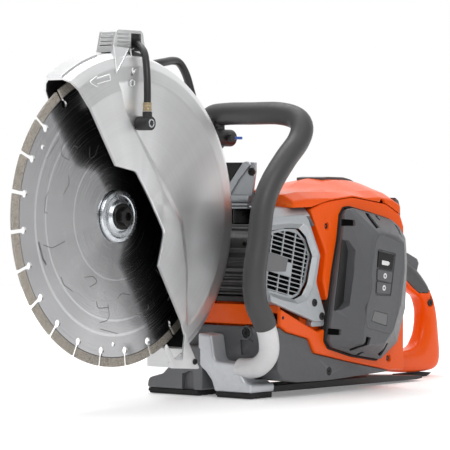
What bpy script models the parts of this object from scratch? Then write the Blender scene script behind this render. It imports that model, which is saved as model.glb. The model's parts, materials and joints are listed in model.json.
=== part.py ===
"""Battery rescue saw: a 350 mm cut-off saw for firefighters, modelled as the pieces it comes apart into.

Lengths below are in millimetres and angles in degrees; MM turns them into metres where vertices are made.
Design frame: the blade's centre stands at X = 0, Y = 0 above the floor at Z = 0. The blade points to -X, the
rear handle to +X, and the battery side is -Y. The last step moves everything so that the origin is under the
middle of the whole machine.
"""

import math

import bmesh
import bpy
from mathutils import Matrix, Vector

MM = 0.001
GAP = 0.3

# Blade and arbor
ARBOR_Z = 220.0
BLADE_R = 175.0
CORE_R = 165.0
CORE_HALF = 1.3
SEGMENT_HALF = 1.7
SEGMENTS = 24
GULLET_PHASE = 5.0
GULLET_HALF = 2.2
KEYHOLE_R = 4.4
KEYHOLE_AT = 157.0
PIN_HOLE_AT = 148.5
BORE_R = 12.7
FLANGE_R = 31.0
SHAFT_R = 12.3

# Guard, measured from the arbor
GUARD_R = 190.0
GUARD_LOW = -58.5
GUARD_HIGH = 123.5
GUARD_HALF = 33.0
GUARD_WALL = 3.0
RIM_FLAT = 12.0

# Drive
MOTOR_X, MOTOR_Z = 238.0, 165.0
MOTOR_R = 40.0
DRIVEN_R, DRIVE_R = 32.0, 16.0
BELT_LOW, BELT_HIGH = 50.0, 60.0
ARM_LOW, ARM_HIGH = 37.0, 46.0

# Body
BODY_LEFT, BODY_RIGHT = -96.0, 86.0
BODY_FRONT = 186.0
BAY_FRONT = 284.0
WALL = 3.0
BATTERY_OUT = -132.0
BAY_DEPTH = 44.0

# Handles
TUBE_R = 12.2
SLEEVE_R = 13.8
REAR_HALF = 14.5
SLOT_HALF = 8.0

# Feet
FOOT_FRONT, FOOT_REAR = 162.0, 206.0

SCENE = bpy.context.scene


# ---------------------------------------------------------------- basic tools


def clear_scene():
    for obj in list(bpy.data.objects):
        bpy.data.objects.remove(obj, do_unlink=True)


def material(name, colour, roughness, metallic=0.0):
    found = bpy.data.materials.get(name)
    if found:
        return found
    made = bpy.data.materials.new(name)
    made.use_nodes = True
    shader = made.node_tree.nodes["Principled BSDF"]
    shader.inputs["Base Color"].default_value = (*colour, 1.0)
    shader.inputs["Roughness"].default_value = roughness
    shader.inputs["Metallic"].default_value = metallic
    return made


def finishes():
    material("orange_plastic", (0.90, 0.18, 0.02), 0.25)
    material("dark_plastic", (0.10, 0.10, 0.105), 0.55)
    material("black_plastic", (0.02, 0.02, 0.02), 0.6)
    material("grip_rubber", (0.07, 0.07, 0.07), 0.75)
    material("black_rubber", (0.015, 0.015, 0.015), 0.85)
    material("silver_cast", (0.62, 0.63, 0.64), 0.35, 0.8)
    material("grey_cast", (0.24, 0.25, 0.26), 0.45, 0.6)
    material("bare_tube", (0.75, 0.75, 0.75), 0.35, 0.9)
    material("blade_steel", (0.55, 0.55, 0.55), 0.25, 1.0)
    material("bright_steel", (0.7, 0.7, 0.7), 0.2, 1.0)
    material("copper", (0.6, 0.3, 0.15), 0.4, 0.9)
    material("circuit_green", (0.03, 0.18, 0.08), 0.5)
    material("valve_blue", (0.02, 0.2, 0.6), 0.4)
    material("screen_black", (0.005, 0.005, 0.005), 0.1)


def empty(name, at, parent):
    made = bpy.data.objects.new(name, None)
    SCENE.collection.objects.link(made)
    made.parent = parent
    made.location = Vector(at) * MM - world_of(parent)
    return made


def world_of(obj):
    """Where an unrotated empty stands, in metres."""
    total = Vector((0, 0, 0))
    while obj is not None:
        total += obj.location
        obj = obj.parent
    return total


class Saw:
    """The root empty and the empties that stand on the joints' axes."""

    root = None
    axes = {}


def add(name, bm, finish, axis="root", helper=False, sharp=35.0):
    """Links a mesh, made in design millimetres, under one of the saw's empties, its origin on that empty."""
    bmesh.ops.recalc_face_normals(bm, faces=bm.faces)
    parent = Saw.axes[axis]
    origin = world_of(parent)
    bmesh.ops.transform(bm, matrix=Matrix.Scale(MM, 4), verts=bm.verts)
    bmesh.ops.translate(bm, vec=-origin, verts=bm.verts)
    mesh = bpy.data.meshes.new(name)
    bm.to_mesh(mesh)
    bm.free()
    obj = bpy.data.objects.new(name, mesh)
    SCENE.collection.objects.link(obj)
    obj.parent = parent
    if helper:
        obj.hide_render = True
        obj.display_type = "WIRE"
        return obj
    mesh.materials.append(bpy.data.materials[finish])
    mesh.shade_smooth()
    mesh.set_sharp_from_angle(angle=math.radians(sharp))
    return obj


def combine(target, tool, operation="DIFFERENCE"):
    modifier = target.modifiers.new(operation.lower(), "BOOLEAN")
    modifier.operation = operation
    modifier.object = tool
    modifier.solver = "EXACT"
    return target


def cut(target, *shapes, axis="root"):
    """Takes each shape away from target, one Boolean for each."""
    for bm in shapes:
        combine(target, add(target.name + ".cut", bm, None, axis, helper=True))
    return target


def join(target, *shapes, axis="root"):
    """Adds each shape to target, one Boolean for each."""
    for bm in shapes:
        combine(target, add(target.name + ".join", bm, None, axis, helper=True), "UNION")
    return target


def place(axis, across, up, along):
    """A point from its two coordinates in the outline's plane and its coordinate along the axis."""
    if axis == "Y":
        return (across, along, up)
    if axis == "X":
        return (along, across, up)
    return (across, up, along)


def loft(sections):
    """A closed solid through closed loops that have the same number of points."""
    bm = bmesh.new()
    rings = [[bm.verts.new(point) for point in loop] for loop in sections]
    count = len(rings[0])
    for low, high in zip(rings, rings[1:]):
        for i in range(count):
            j = (i + 1) % count
            bm.faces.new((low[i], low[j], high[j], high[i]))
    bm.faces.new(rings[0])
    bm.faces.new(list(reversed(rings[-1])))
    return bm


def prism(outline, axis, low, high):
    return loft([[place(axis, a, b, at) for a, b in outline] for at in (low, high)])


def merged(*parts):
    """One bmesh that holds several bodies that don't touch."""
    whole = bmesh.new()
    for part in parts:
        mesh = bpy.data.meshes.new("part")
        bmesh.ops.recalc_face_normals(part, faces=part.faces)
        part.to_mesh(mesh)
        part.free()
        whole.from_mesh(mesh)
        bpy.data.meshes.remove(mesh)
    return whole


def circle(cx, cy, radius, steps=24, start=0.0):
    return [
        (
            cx + radius * math.cos(math.radians(start) + 2 * math.pi * i / steps),
            cy + radius * math.sin(math.radians(start) + 2 * math.pi * i / steps),
        )
        for i in range(steps)
    ]


def arc(cx, cy, radius, start, end, steps):
    return [
        (
            cx + radius * math.cos(math.radians(start + (end - start) * i / steps)),
            cy + radius * math.sin(math.radians(start + (end - start) * i / steps)),
        )
        for i in range(steps + 1)
    ]


def rounded(corners, radius, steps=3):
    """The closed outline with each corner rounded; radius is a number, or one number for each corner."""
    radii = radius if isinstance(radius, (list, tuple)) else [radius] * len(corners)
    points = []
    for i, corner in enumerate(corners):
        here = Vector(corner)
        before = Vector(corners[i - 1]) - here
        after = Vector(corners[(i + 1) % len(corners)]) - here
        if radii[i] <= 0:
            points.append(tuple(here))
            continue
        half = before.angle(after) / 2
        reach = min(radii[i] / math.tan(half), 0.48 * before.length, 0.48 * after.length)
        start = here + before.normalized() * reach
        end = here + after.normalized() * reach
        for k in range(steps + 1):
            t = k / steps
            points.append(tuple(start.lerp(here, t).lerp(here.lerp(end, t), t)))
    return points


def hull(points):
    """The convex outline round a set of points, counterclockwise."""
    points = sorted(set((round(x, 6), round(y, 6)) for x, y in points))

    def side(ordered):
        kept = []
        for p in ordered:
            while len(kept) > 1 and turn(kept[-2], kept[-1], p) <= 0:
                kept.pop()
            kept.append(p)
        return kept[:-1]

    def turn(a, b, c):
        return (b[0] - a[0]) * (c[1] - a[1]) - (b[1] - a[1]) * (c[0] - a[0])

    return side(points) + side(reversed(points))


def around_pulleys(front_r, rear_r, steps=24):
    """The outline of a belt or cover round the arbor and the motor shaft."""
    front = circle(0, ARBOR_Z, front_r, steps)
    return hull(front + circle(MOTOR_X, MOTOR_Z, rear_r, steps))


def revolve(profile, centre, steps=32):
    """A solid turned about the Y line through centre (x, z). The profile is a closed list of (radius, y)."""
    cx, cz = centre
    bm = bmesh.new()
    on_axis = {i: bm.verts.new((cx, y, cz)) for i, (r, y) in enumerate(profile) if r == 0}
    rings = []
    for k in range(steps):
        angle = 2 * math.pi * k / steps
        c, s = math.cos(angle), math.sin(angle)
        ring = [
            on_axis[i] if i in on_axis else bm.verts.new((cx + r * c, y, cz + r * s))
            for i, (r, y) in enumerate(profile)
        ]
        rings.append(ring)
    for k in range(steps):
        this, following = rings[k], rings[(k + 1) % steps]
        for i in range(len(profile)):
            j = (i + 1) % len(profile)
            corners = []
            for vert in (this[i], this[j], following[j], following[i]):
                if vert not in corners:
                    corners.append(vert)
            if len(corners) > 2:
                bm.faces.new(corners)
    return bm


def smooth_path(points, spacing):
    """Points about spacing apart on a Catmull-Rom curve through the route's own points."""
    route = [Vector(p) for p in points]
    route = [2 * route[0] - route[1], *route, 2 * route[-1] - route[-2]]
    dense = []
    for a, b, c, d in zip(route, route[1:], route[2:], route[3:]):
        pieces = max(2, math.ceil((c - b).length / spacing))
        for k in range(pieces):
            t = k / pieces
            square = 2 * a - 5 * b + 4 * c - d
            cube = 3 * b - a - 3 * c + d
            dense.append(0.5 * (2 * b + (c - a) * t + square * t**2 + cube * t**3))
    return dense + [route[-2]]


def sweep(path, radius, sides=10):
    """A solid bar along a path."""
    path = [Vector(p) for p in path]
    tangents = [
        (path[min(i + 1, len(path) - 1)] - path[max(i - 1, 0)]).normalized() for i in range(len(path))
    ]
    side = tangents[0].orthogonal().normalized()
    loops = []
    for point, tangent in zip(path, tangents):
        side = (side - tangent * side.dot(tangent)).normalized()
        up = tangent.cross(side)
        loops.append(
            [
                point
                + side * radius * math.cos(2 * math.pi * k / sides)
                + up * radius * math.sin(2 * math.pi * k / sides)
                for k in range(sides)
            ]
        )
    return loft(loops)


def box(x0, x1, y0, y1, z0, z1):
    return prism([(x0, z0), (x1, z0), (x1, z1), (x0, z1)], "Y", y0, y1)


def cylinder(axis, a, b, radius, low, high, steps=20):
    return prism(circle(a, b, radius, steps), axis, low, high)


# ---------------------------------------------------------------- blade and drive


def polar(radius, angle):
    """X and Z of a point at a radius and an angle from the arbor."""
    return radius * math.cos(math.radians(angle)), ARBOR_Z + radius * math.sin(math.radians(angle))


def gullet(angle):
    """One slot in the blade's edge, with its keyhole, as points going inwards and out again."""
    inner = math.degrees(math.asin(GULLET_HALF / KEYHOLE_R))
    hole = arc(KEYHOLE_AT, 0, KEYHOLE_R, -inner, -360 + inner, 6)
    local = [(CORE_R, -GULLET_HALF), *hole, (CORE_R, GULLET_HALF)]
    c, s = math.cos(math.radians(angle)), math.sin(math.radians(angle))
    return [(x * c - y * s, x * s + y * c + ARBOR_Z) for x, y in local]


def segment_span(index):
    """First and last angle of one diamond segment."""
    pitch = 360 / SEGMENTS
    margin = math.degrees(GULLET_HALF / CORE_R)
    return GULLET_PHASE + index * pitch + margin, GULLET_PHASE + (index + 1) * pitch - margin


def make_blade():
    outline = []
    segments = []
    for i in range(SEGMENTS):
        first, last = segment_span(i)
        outline += gullet(GULLET_PHASE + i * 360 / SEGMENTS)
        outline += arc(0, ARBOR_Z, CORE_R, first, last, 3)[1:-1]
        ring = arc(0, ARBOR_Z, CORE_R - 1.5, first, last, 3)
        ring += list(reversed(arc(0, ARBOR_Z, BLADE_R, first, last, 3)))
        segments.append(prism(ring, "Y", -SEGMENT_HALF, SEGMENT_HALF))
    blade = add("blade", prism(outline, "Y", -CORE_HALF, CORE_HALF), "blade_steel", "blade")
    join(blade, merged(*segments), axis="blade")
    holes = [cylinder("Y", 0, ARBOR_Z, BORE_R, -5, 5, 32)]
    for angle in (27.5, 147.5, 267.5):
        x, z = polar(PIN_HOLE_AT, angle)
        holes.append(cylinder("Y", x, z, 3.0, -5, 5, 10))
    cut(blade, merged(*holes), axis="blade")


def make_arbor():
    at = (0, ARBOR_Z)
    face = SEGMENT_HALF + GAP
    inner = [(BORE_R, face), (FLANGE_R, face), (FLANGE_R, face + 3), (20, 9), (BORE_R, 9)]
    add("inner_flange", revolve(inner, at), "bright_steel", "blade")
    outer = [
        (BORE_R, -face), (BORE_R, -9), (17, -9), (FLANGE_R - 3, -6), (FLANGE_R, -4),
        (FLANGE_R, -face),
    ]
    add("outer_flange", revolve(outer, at), "bright_steel", "blade")
    shaft = [(5.3, -7), (SHAFT_R, -7), (SHAFT_R, 63), (0, 63), (0, 17), (5.3, 17)]
    add("arbor_shaft", revolve(shaft, at, 24), "bright_steel", "blade")
    bolt = [
        (0, 14), (5, 14), (5, -9.3), (13.2, -9.3), (13.2, -12), (10.5, -19), (6, -19), (6, -13),
        (0, -13),
    ]
    add("arbor_bolt", revolve(bolt, at, 24), "grey_cast", "blade")
    add("driven_pulley", pulley(DRIVEN_R, SHAFT_R + GAP, at), "grey_cast", "blade")
    for name, low in (("arbor_bearing_inner", 12.5), ("arbor_bearing_outer", 35.0)):
        ring = [(SHAFT_R + GAP, low), (25.7, low), (25.7, low + 9.5), (SHAFT_R + GAP, low + 9.5)]
        add(name, revolve(ring, at, 24), "bright_steel")


def pulley(radius, bore, centre):
    """A flat-belt pulley with two low flanges that keep the belt on."""
    lip = radius + 2.5
    low, high = BELT_LOW - 2.2, BELT_HIGH + 2.2
    profile = [
        (bore, low), (lip, low), (radius, BELT_LOW - GAP), (radius, BELT_HIGH + GAP), (lip, high),
        (bore, high),
    ]
    return revolve(profile, centre, 28)


def make_belt():
    outside = around_pulleys(DRIVEN_R + 3.6, DRIVE_R + 3.6)
    belt = add("drive_belt", prism(outside, "Y", BELT_LOW, BELT_HIGH), "black_rubber")
    cut(belt, prism(around_pulleys(DRIVEN_R + 0.5, DRIVE_R + 0.5), "Y", BELT_LOW - 2, BELT_HIGH + 2))


def make_motor():
    at = (MOTOR_X, MOTOR_Z)
    fins = []
    count = 22
    for i in range(count):
        middle = 360 * i / count
        step = 360 / count
        fins += arc(*at, MOTOR_R + 3, middle - step * 0.18, middle + step * 0.18, 1)
        fins += arc(*at, MOTOR_R, middle + step * 0.28, middle + step * 0.72, 1)
    housing = add("motor_housing", prism(fins, "Y", -62, 36), "grey_cast")
    cut(
        housing, merged(cylinder("Y", *at, MOTOR_R - 2.5, -70, 31, 28)),
        cylinder("Y", *at, 9, 25, 40, 16),
    )
    coil = [(10, -42), (33, -42), (33, 16), (10, 16)]
    stator = add("motor_stator", revolve(coil, at, 24), "copper")
    join(stator, merged(*[stator_foot(at, angle) for angle in (90, 210, 330)]))
    rotor = [
        (0, -80), (8, -80), (8, -50), (36.5, -50), (36.5, 18), (34, 18), (34, -46), (8, -46), (8, 63),
        (0, 63),
    ]
    add("motor_rotor", revolve(rotor, at, 28), "bright_steel", "motor")
    add("drive_pulley", pulley(DRIVE_R, 8 + GAP, at), "grey_cast", "motor")
    hub = [(8 + GAP, -78), (14, -78), (17, -68), (17, -64), (8 + GAP, -64)]
    fan = add("cooling_fan", revolve(hub, at, 24), "black_plastic", "motor")
    join(fan, merged(*[fan_vane(at, 360 * i / 9) for i in range(9)]), axis="motor")


def stator_foot(at, angle):
    """A foot that carries the stator on the motor housing's end wall."""
    x = at[0] + 23 * math.cos(math.radians(angle))
    z = at[1] + 23 * math.sin(math.radians(angle))
    return cylinder("Y", x, z, 5, 10, 31 - GAP, 8)


def fan_vane(at, angle):
    """One backward-curved vane of the cooling fan."""
    line = [(14, 0), (24, 3), (32, 8), (37, 14)]
    outline = [(r, a - 1) for r, a in line] + [(r, a + 1) for r, a in reversed(line)]
    c, s = math.cos(math.radians(angle)), math.sin(math.radians(angle))
    return prism([(at[0] + r * c - a * s, at[1] + r * s + a * c) for r, a in outline], "Y", -77, -66)


def make_arm():
    arm = add("cutting_arm", prism(around_pulleys(38, 40), "Y", ARM_LOW, ARM_HIGH), "silver_cast")
    join(arm, cylinder("Y", 0, ARBOR_Z, 33, 10.5, ARM_LOW + 1, 32))
    cut(
        arm,
        cylinder("Y", 0, ARBOR_Z, 26, 5, ARM_HIGH + 5, 32),
        cylinder("Y", MOTOR_X, MOTOR_Z, 20, ARM_LOW - 5, ARM_HIGH + 5, 24),
        prism(
            rounded([(52, 222), (150, 202), (186, 188), (186, 168), (150, 174), (52, 198)], 8), "Y",
            30, 42,
        ),
    )
    cover = add("belt_cover", prism(around_pulleys(40, 42), "Y", ARM_HIGH + GAP, 70), "silver_cast")
    cut(cover, prism(around_pulleys(37, 39), "Y", ARM_HIGH - 2, 66.5))
    spots = ((-28, 238), (-26, 200), (100, 226), (100, 176), (176, 214), (254, 193), (256, 136))
    join(cover, merged(*[cylinder("Y", x, z, 5.5, 69, 72, 10) for x, z in spots]))


# ---------------------------------------------------------------- guard and water


OPENING = [(-50, 72), (-41, 59), (-3, 52), (23, 17), (46, -18), (42, -34), (35, -58)]
CREASE = [(-79, 148), (-29, 148), (-26, 127), (-3, 94), (40, 35), (74, -7), (84, -60), (84, -150)]


def reach(line, angle):
    """How far from the arbor a ray at an angle meets a line through points given from the arbor."""
    c, s = math.cos(math.radians(angle)), math.sin(math.radians(angle))
    for (x0, z0), (x1, z1) in zip(line, line[1:]):
        across = (x1 - x0) * s - (z1 - z0) * c
        if abs(across) < 1e-9:
            continue
        t = (z0 * c - x0 * s) / across
        r = (x0 + (x1 - x0) * t) * c + (z0 + (z1 - z0) * t) * s
        if -1e-6 <= t <= 1.000001 and r > 0:
            return r
    return math.hypot(*line[0]) if angle > 0 else math.hypot(*line[-1])


def guard_section(angle):
    """The guard's closed wall section as (radius, y): the outside from left to right, then the inside."""
    edge = reach(OPENING, angle)
    band = min(max(reach(CREASE, angle), edge + 12), 148)
    outer = [
        (edge, -35),
        (band, -35),
        (band + 8, -29.5 - max(0, band - 128) * 0.17),
        (158, -GUARD_HALF),
        (174, -30),
        (185, -22),
        (GUARD_R, -RIM_FLAT),
        (GUARD_R, RIM_FLAT),
        (185, 22),
        (174, 30),
        (158, GUARD_HALF),
        (42, GUARD_HALF),
    ]
    inner = [
        (42, GUARD_HALF - GUARD_WALL),
        (157, GUARD_HALF - GUARD_WALL),
        (172, 27.5),
        (182.5, 20.5),
        (GUARD_R - GUARD_WALL, RIM_FLAT - 1),
        (GUARD_R - GUARD_WALL, 1 - RIM_FLAT),
        (182.5, -20.5),
        (172, -27.5),
        (157, GUARD_WALL - GUARD_HALF),
        (band + 7, GUARD_WALL - 29.5 - max(0, band - 128) * 0.17),
        (band - 1, GUARD_WALL - 35),
        (edge, GUARD_WALL - 35),
    ]
    return outer + inner


def make_guard():
    steps = 26
    loops = []
    for k in range(steps + 1):
        angle = GUARD_LOW + (GUARD_HIGH - GUARD_LOW) * k / steps
        loops.append([(polar(r, angle)[0], y, polar(r, angle)[1]) for r, y in guard_section(angle)])
    guard = add("guard_shell", loft(loops), "silver_cast", "guard")
    collar = [(33.6, 29.5), (47, 29.5), (47, 33.2), (33.6, 33.2)]
    join(guard, revolve(collar, (0, ARBOR_Z), 32), axis="guard")
    make_guard_grip()
    make_guard_tail()


def make_guard_grip():
    """The hollow lifting tab on the guard's rim, open to the sides where the hoses come out."""
    front, rear = -15, 33
    base, top = ARBOR_Z + GUARD_R + GAP, 437
    sides = [
        (front - 6, base), (rear + 5, base), (rear, top - 3), (rear - 4, top), (front + 4, top),
        (front, top - 3),
    ]
    grip = add("guard_grip", prism(sides, "Y", -13, 13), "silver_cast", "guard")
    cavity = [
        (front + 3, base + 2.5), (rear - 2.5, base + 2.5), (rear - 3, top - 4), (front + 5, top - 4),
    ]
    window = prism(
        [(12, base + 2.5), (rear - 3.5, base + 2.5), (rear - 3.5, top - 4), (12, top - 4)], "Y", -15,
        15,
    )
    inside = prism(cavity, "Y", -10.4, 10.4)
    cut(grip, inside, window, cylinder("X", 3, 421, 5.6, rear - 5, rear + 8, 12), axis="guard")


def make_guard_tail():
    """The lower end piece that carries the guard's walls round the blade's edge, screwed to both walls."""
    foot = [polar(148, GUARD_LOW - 0.2), polar(212, GUARD_LOW - 0.2), (64, 41), (48, 64), (58, 82)]
    tail = add("guard_tail", prism(foot, "Y", -34, 33), "silver_cast", "guard")
    cut(
        tail, cylinder("Y", 0, ARBOR_Z, 182, -30.5, 30.5, 72),
        cylinder("Y", 98, 49, 2.6, -40, -28, 10), axis="guard",
    )


def make_water():
    """Tee in the tab, a spray elbow on each wall with its hose, and the hose to the valve on the handle."""
    tee = add("hose_tee", cylinder("Y", 21, 421, 5.2, -8.0, 8.0, 12), "black_plastic", "guard")
    join(tee, cylinder("X", 3, 421, 3.6, 20, 28.2, 10), axis="guard")
    for name, side, seat in (("left", -1, 31.2), ("right", 1, 33.4)):
        low, high = sorted((side * seat, side * 51))
        elbow = add(
            f"spray_elbow_{name}", cylinder("Y", 4, 328, 8.2, low, high, 14), "black_plastic",
            "guard",
        )
        join(elbow, cylinder("Z", 4, side * 44.5, 5.6, 328, 342, 12), axis="guard")
        route = [
            (21, 9.8, 421), (20.8, 14, 420.8), (15, 30, 411), (8, 40, 392), (4.5, 44.3, 367),
            (4, 44.5, 342.4),
        ]
        line = [(x, side * y, z) for x, y, z in route]
        add(f"spray_hose_{name}", sweep(smooth_path(line, 9), 4.2, 8), "black_rubber", "guard")
    add("supply_hose", sweep(smooth_path(SUPPLY_ROUTE, 12), 5.0, 8), "black_rubber", "guard")
    make_valve()


SUPPLY_ROUTE = [
    (28.8, 3, 421),
    (42, 4, 421),
    (68, 12, 417),
    (96, 24, 409),
    (124, 37, 404),
    (150, 42, 407),
    (164, 43, 404),
    (176, 43, 390),
    (185, 43, 370),
    (192, 42, 352),
    (201, 37, 336),
    (212.4, 33, 331),
]


def make_valve():
    body = add("water_valve", cylinder("X", 30, 314, 10.5, 214, 246, 14), "black_plastic")
    join(body, cylinder("X", 33, 331, 5.2, 214.6, 226, 10), box(219, 233, 29, 37, 318, 332))
    band = path_between(front_handle_path(), 300, 316, 40)
    join(body, sweep(band, SLEEVE_R + 3.2, 12), box(228, 240, 34, 52, 304, 314))
    cut(body, sweep(front_handle_path(), SLEEVE_R + GAP, 16))
    lever = add("valve_lever", cylinder("Y", 229, 314, 7, 13, 19.2, 12), "valve_blue", "valve")
    join(lever, box(225.5, 250, 14, 18, 311.5, 316.5), axis="valve")


def path_between(path, low, high, least_y):
    """The stretch of a path between two heights, on the side where Y is above least_y."""
    return [p for p in path if low <= p.z <= high and p.y > least_y]


# ---------------------------------------------------------------- body

BATTERY_BASE = [
    (270, 66),
    (276, 104),
    (286, 152),
    (296, 189),
    (301, 220),
    (309, 229),
    (322, 230),
    (365, 222),
    (403, 214),
    (418, 206),
    (432, 190),
    (436, 160),
    (432, 100),
    (414, 56),
    (378, 36),
    (325, 44),
    (278, 56),
]
BATTERY_FACE = [
    (303, 66),
    (305, 82),
    (311, 103),
    (316, 125),
    (318, 152),
    (325, 192),
    (334, 198),
    (346, 198),
    (362, 196),
    (380, 191),
    (391, 184),
    (392, 150),
    (384, 107),
    (369, 77),
    (350, 60),
    (334, 59),
    (312, 60),
]
DISPLAY_SEAT = [(328, 121), (333.5, 177.5), (371, 171), (360.5, 120)]
DISPLAY = [(332.5, 154.5), (335.5, 175), (368, 169.5), (363.5, 149.5)]
UPPER_BUTTON = [(331.5, 139.5), (332.5, 153), (363, 148), (360.5, 134.8)]
LOWER_BUTTON = [(330, 123.5), (331.3, 138), (360, 133.3), (358, 121.5)]
SIDE_TOP = [(284, 236), (330, 241), (400, 232), (430, 218.5), (438, 203)]
SIDE_REAR = [(441, 150), (441, 80), (443, 21.5), (411.6, 21.6)]
SPLIT_LOW = [(411, 23.8), (330, 37), (254, 52), (243, 70), (200, 80), (BODY_FRONT, 88)]
INLET = [
    (165, 219), (233, 221), (240, 214), (263, 171), (255, 138), (273, 98), (266, 89), (252, 90),
    (165, 117.5),
]
WINDOW = [
    (172, 196), (200, 199), (219, 198), (234, 187), (243, 170), (234, 141), (222, 126), (210, 123),
    (172, 134),
]
PLATE_FRONT = [
    (BODY_FRONT, 109), (228, 91), (260, 78), (284, 82), (281, 108), (270, 140), (276, 174),
    (252, 214),
]


def inset(outline, distance):
    """The closed outline moved inwards by distance."""
    area = sum(a[0] * b[1] - b[0] * a[1] for a, b in zip(outline, outline[1:] + outline[:1]))
    sign = 1 if area > 0 else -1
    moved = []
    for i, corner in enumerate(outline):
        here = Vector(corner)
        before = (here - Vector(outline[i - 1])).normalized()
        after = (Vector(outline[(i + 1) % len(outline)]) - here).normalized()
        normal_before = Vector((-before.y, before.x)) * sign
        normal_after = Vector((-after.y, after.x)) * sign
        middle = (normal_before + normal_after).normalized()
        moved.append(tuple(here + middle * distance / max(0.35, middle.dot(normal_before))))
    return moved


def make_housings():
    split_rear = SPLIT_LOW[:2]
    outline = [(BAY_FRONT, 47)] + SIDE_TOP + SIDE_REAR + split_rear
    left = add("left_housing", prism(outline, "Y", BODY_LEFT, -1), "orange_plastic")
    hollow = prism(inset(outline, WALL), "Y", BODY_LEFT + WALL, 4)
    plate = PLATE_FRONT + [(246, 227), (268, 234), (287, 237), (287, 45)] + SPLIT_LOW[2:]
    strip = [(BODY_FRONT, 88), (BODY_FRONT + WALL, 87), (BODY_FRONT + WALL, 112), (BODY_FRONT, 113)]
    join(
        left, prism(plate, "Y", BODY_LEFT, BODY_LEFT + WALL + 0.5),
        prism(strip, "Y", BODY_LEFT + 1.5, BODY_RIGHT - WALL - GAP),
    )
    cut(left, hollow, prism(BATTERY_BASE, "Y", BODY_LEFT - 5, BODY_LEFT + 10))
    right_outline = [(BAY_FRONT, 47), (BAY_FRONT, 236)] + SIDE_TOP[1:] + SIDE_REAR + SPLIT_LOW[:2]
    right = add("right_housing", prism(right_outline, "Y", 1, BODY_RIGHT), "orange_plastic")
    panel = [(BODY_FRONT, 88), (BODY_FRONT, 113), (290, 118)] + [(290, 45)] + SPLIT_LOW[2:5]
    join(right, prism(panel, "Y", BODY_RIGHT - WALL, BODY_RIGHT))
    cut(right, prism(inset(right_outline, WALL), "Y", -4, BODY_RIGHT - WALL))
    make_top_cover()
    make_lower_cover()


def level(stops, x):
    """Height at x on a line through (x, z) stops."""
    for (x0, z0), (x1, z1) in zip(stops, stops[1:]):
        if x <= x1:
            return z0 + (z1 - z0) * (x - x0) / (x1 - x0)
    return stops[-1][1]


ROOF = [
    (212, 247), (262, 249), (308, 251.5), (335, 258.5), (370, 264.5), (400, 265), (425, 258),
    (441, 244),
]
SHOULDER = [(212, 245), (237, 248), (274, 248.5), (325, 248), (387, 249), (413, 246), (441, 234)]
SKIRT = [
    (212, 229), (246, 229.6), (268, 234.6), (284, 237.6), (330, 241.6), (400, 232.6), (430, 219.1),
    (440, 214.6),
]


def cover_section(x, shell=0.0):
    """Closed section of the top cover across the machine; shell moves it inwards for the hollow."""
    low = level(SKIRT, x) - (5 if shell else 0)
    high = level(ROOF, x) - shell
    left, right = BODY_LEFT + shell, BODY_RIGHT - shell
    shoulder = level(SHOULDER, x) - shell
    side = max(shoulder - 9, level(SKIRT, x) + 1.5 - shell)
    return [
        (x, left, low),
        (x, left, side),
        (x, left + 16, shoulder),
        (x, -40, high - 0.5),
        (x, 30, high),
        (x, right - 16, shoulder),
        (x, right, side),
        (x, right, low),
    ]


def make_top_cover():
    stations = [212, 246, 268, 284, 308, 330, 345, 370, 400, 425, 430]
    cover = add("top_cover", loft([cover_section(x) for x in stations]), "orange_plastic")
    inside = [215] + stations[1:-2] + [426]
    cut(
        cover,
        loft([cover_section(x, WALL) for x in inside]),
        box(200, 269, -14, 100, 215, 275),
        box(200, 245, -38, 100, 215, 275),
    )
    spine = [(x, level(ROOF, x)) for x in (318, 335, 352, 370, 385, 400, 412, 425)]
    trim = [(x, z + GAP + 0.2) for x, z in spine] + [(x, z + 2.2) for x, z in reversed(spine)]
    add("top_trim", prism(trim, "Y", -32, 24), "dark_plastic")


def make_keypad():
    """The panel across the top rear of the body, with the power button that faces the operator."""
    outline = [(430.4, 221), (441, 214.5), (441, 227), (437, 236), (430.4, 240)]
    panel = add("keypad_panel", prism(outline, "Y", -88, 78), "dark_plastic")
    cut(panel, cylinder("X", -58, 221.5, 5.3, 436, 450, 16))
    add("power_button", cylinder("X", -58, 221.5, 5.0, 438, 443.2, 16), "grip_rubber", "power_button")


def make_lower_cover():
    top = [(x, z - GAP * 2) for x, z in reversed(SPLIT_LOW)]
    outline = [(BODY_FRONT, 30)] + top + [(410.4, 21.2), (365, 19.5), (281, 17), (225, 18)]
    cover = add("lower_cover", prism(outline, "Y", BODY_LEFT + 4, BODY_RIGHT - 2), "dark_plastic")
    pocket = [
        (190, 34), (190, 95), (245, 95), (262, 58), (335, 45), (395, 38), (395, 24), (281, 20.5),
        (232, 22),
    ]
    cut(cover, prism(pocket, "Y", BODY_LEFT + 7.5, BODY_RIGHT - 5.5))


def make_inlet():
    cover = add("air_inlet_cover", prism(INLET, "Y", -98, -64), "silver_cast")
    inner = inset(INLET, 3)
    cut(
        cover,
        prism(inner, "Y", -95, -60),
        prism(WINDOW, "Y", -102, -90),
        box(236, 290, -82, -60, 80, 230),
        box(180, 290, -95.2, -60, 80, 116),
    )
    screen = add("inlet_screen", prism(inset(INLET, 3.4), "Y", -94.6, -93.4), "black_plastic")
    holes = []
    for row in range(5):
        for column in range(5):
            x, z = 178 + 12.5 * column, 137 + 13 * row
            if x < 232 or 150 < z < 180:
                holes.append(box(x - 4.5, x + 4.5, -96, -92, z - 3.5, z + 3.5))
    cut(screen, merged(*holes))


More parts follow.
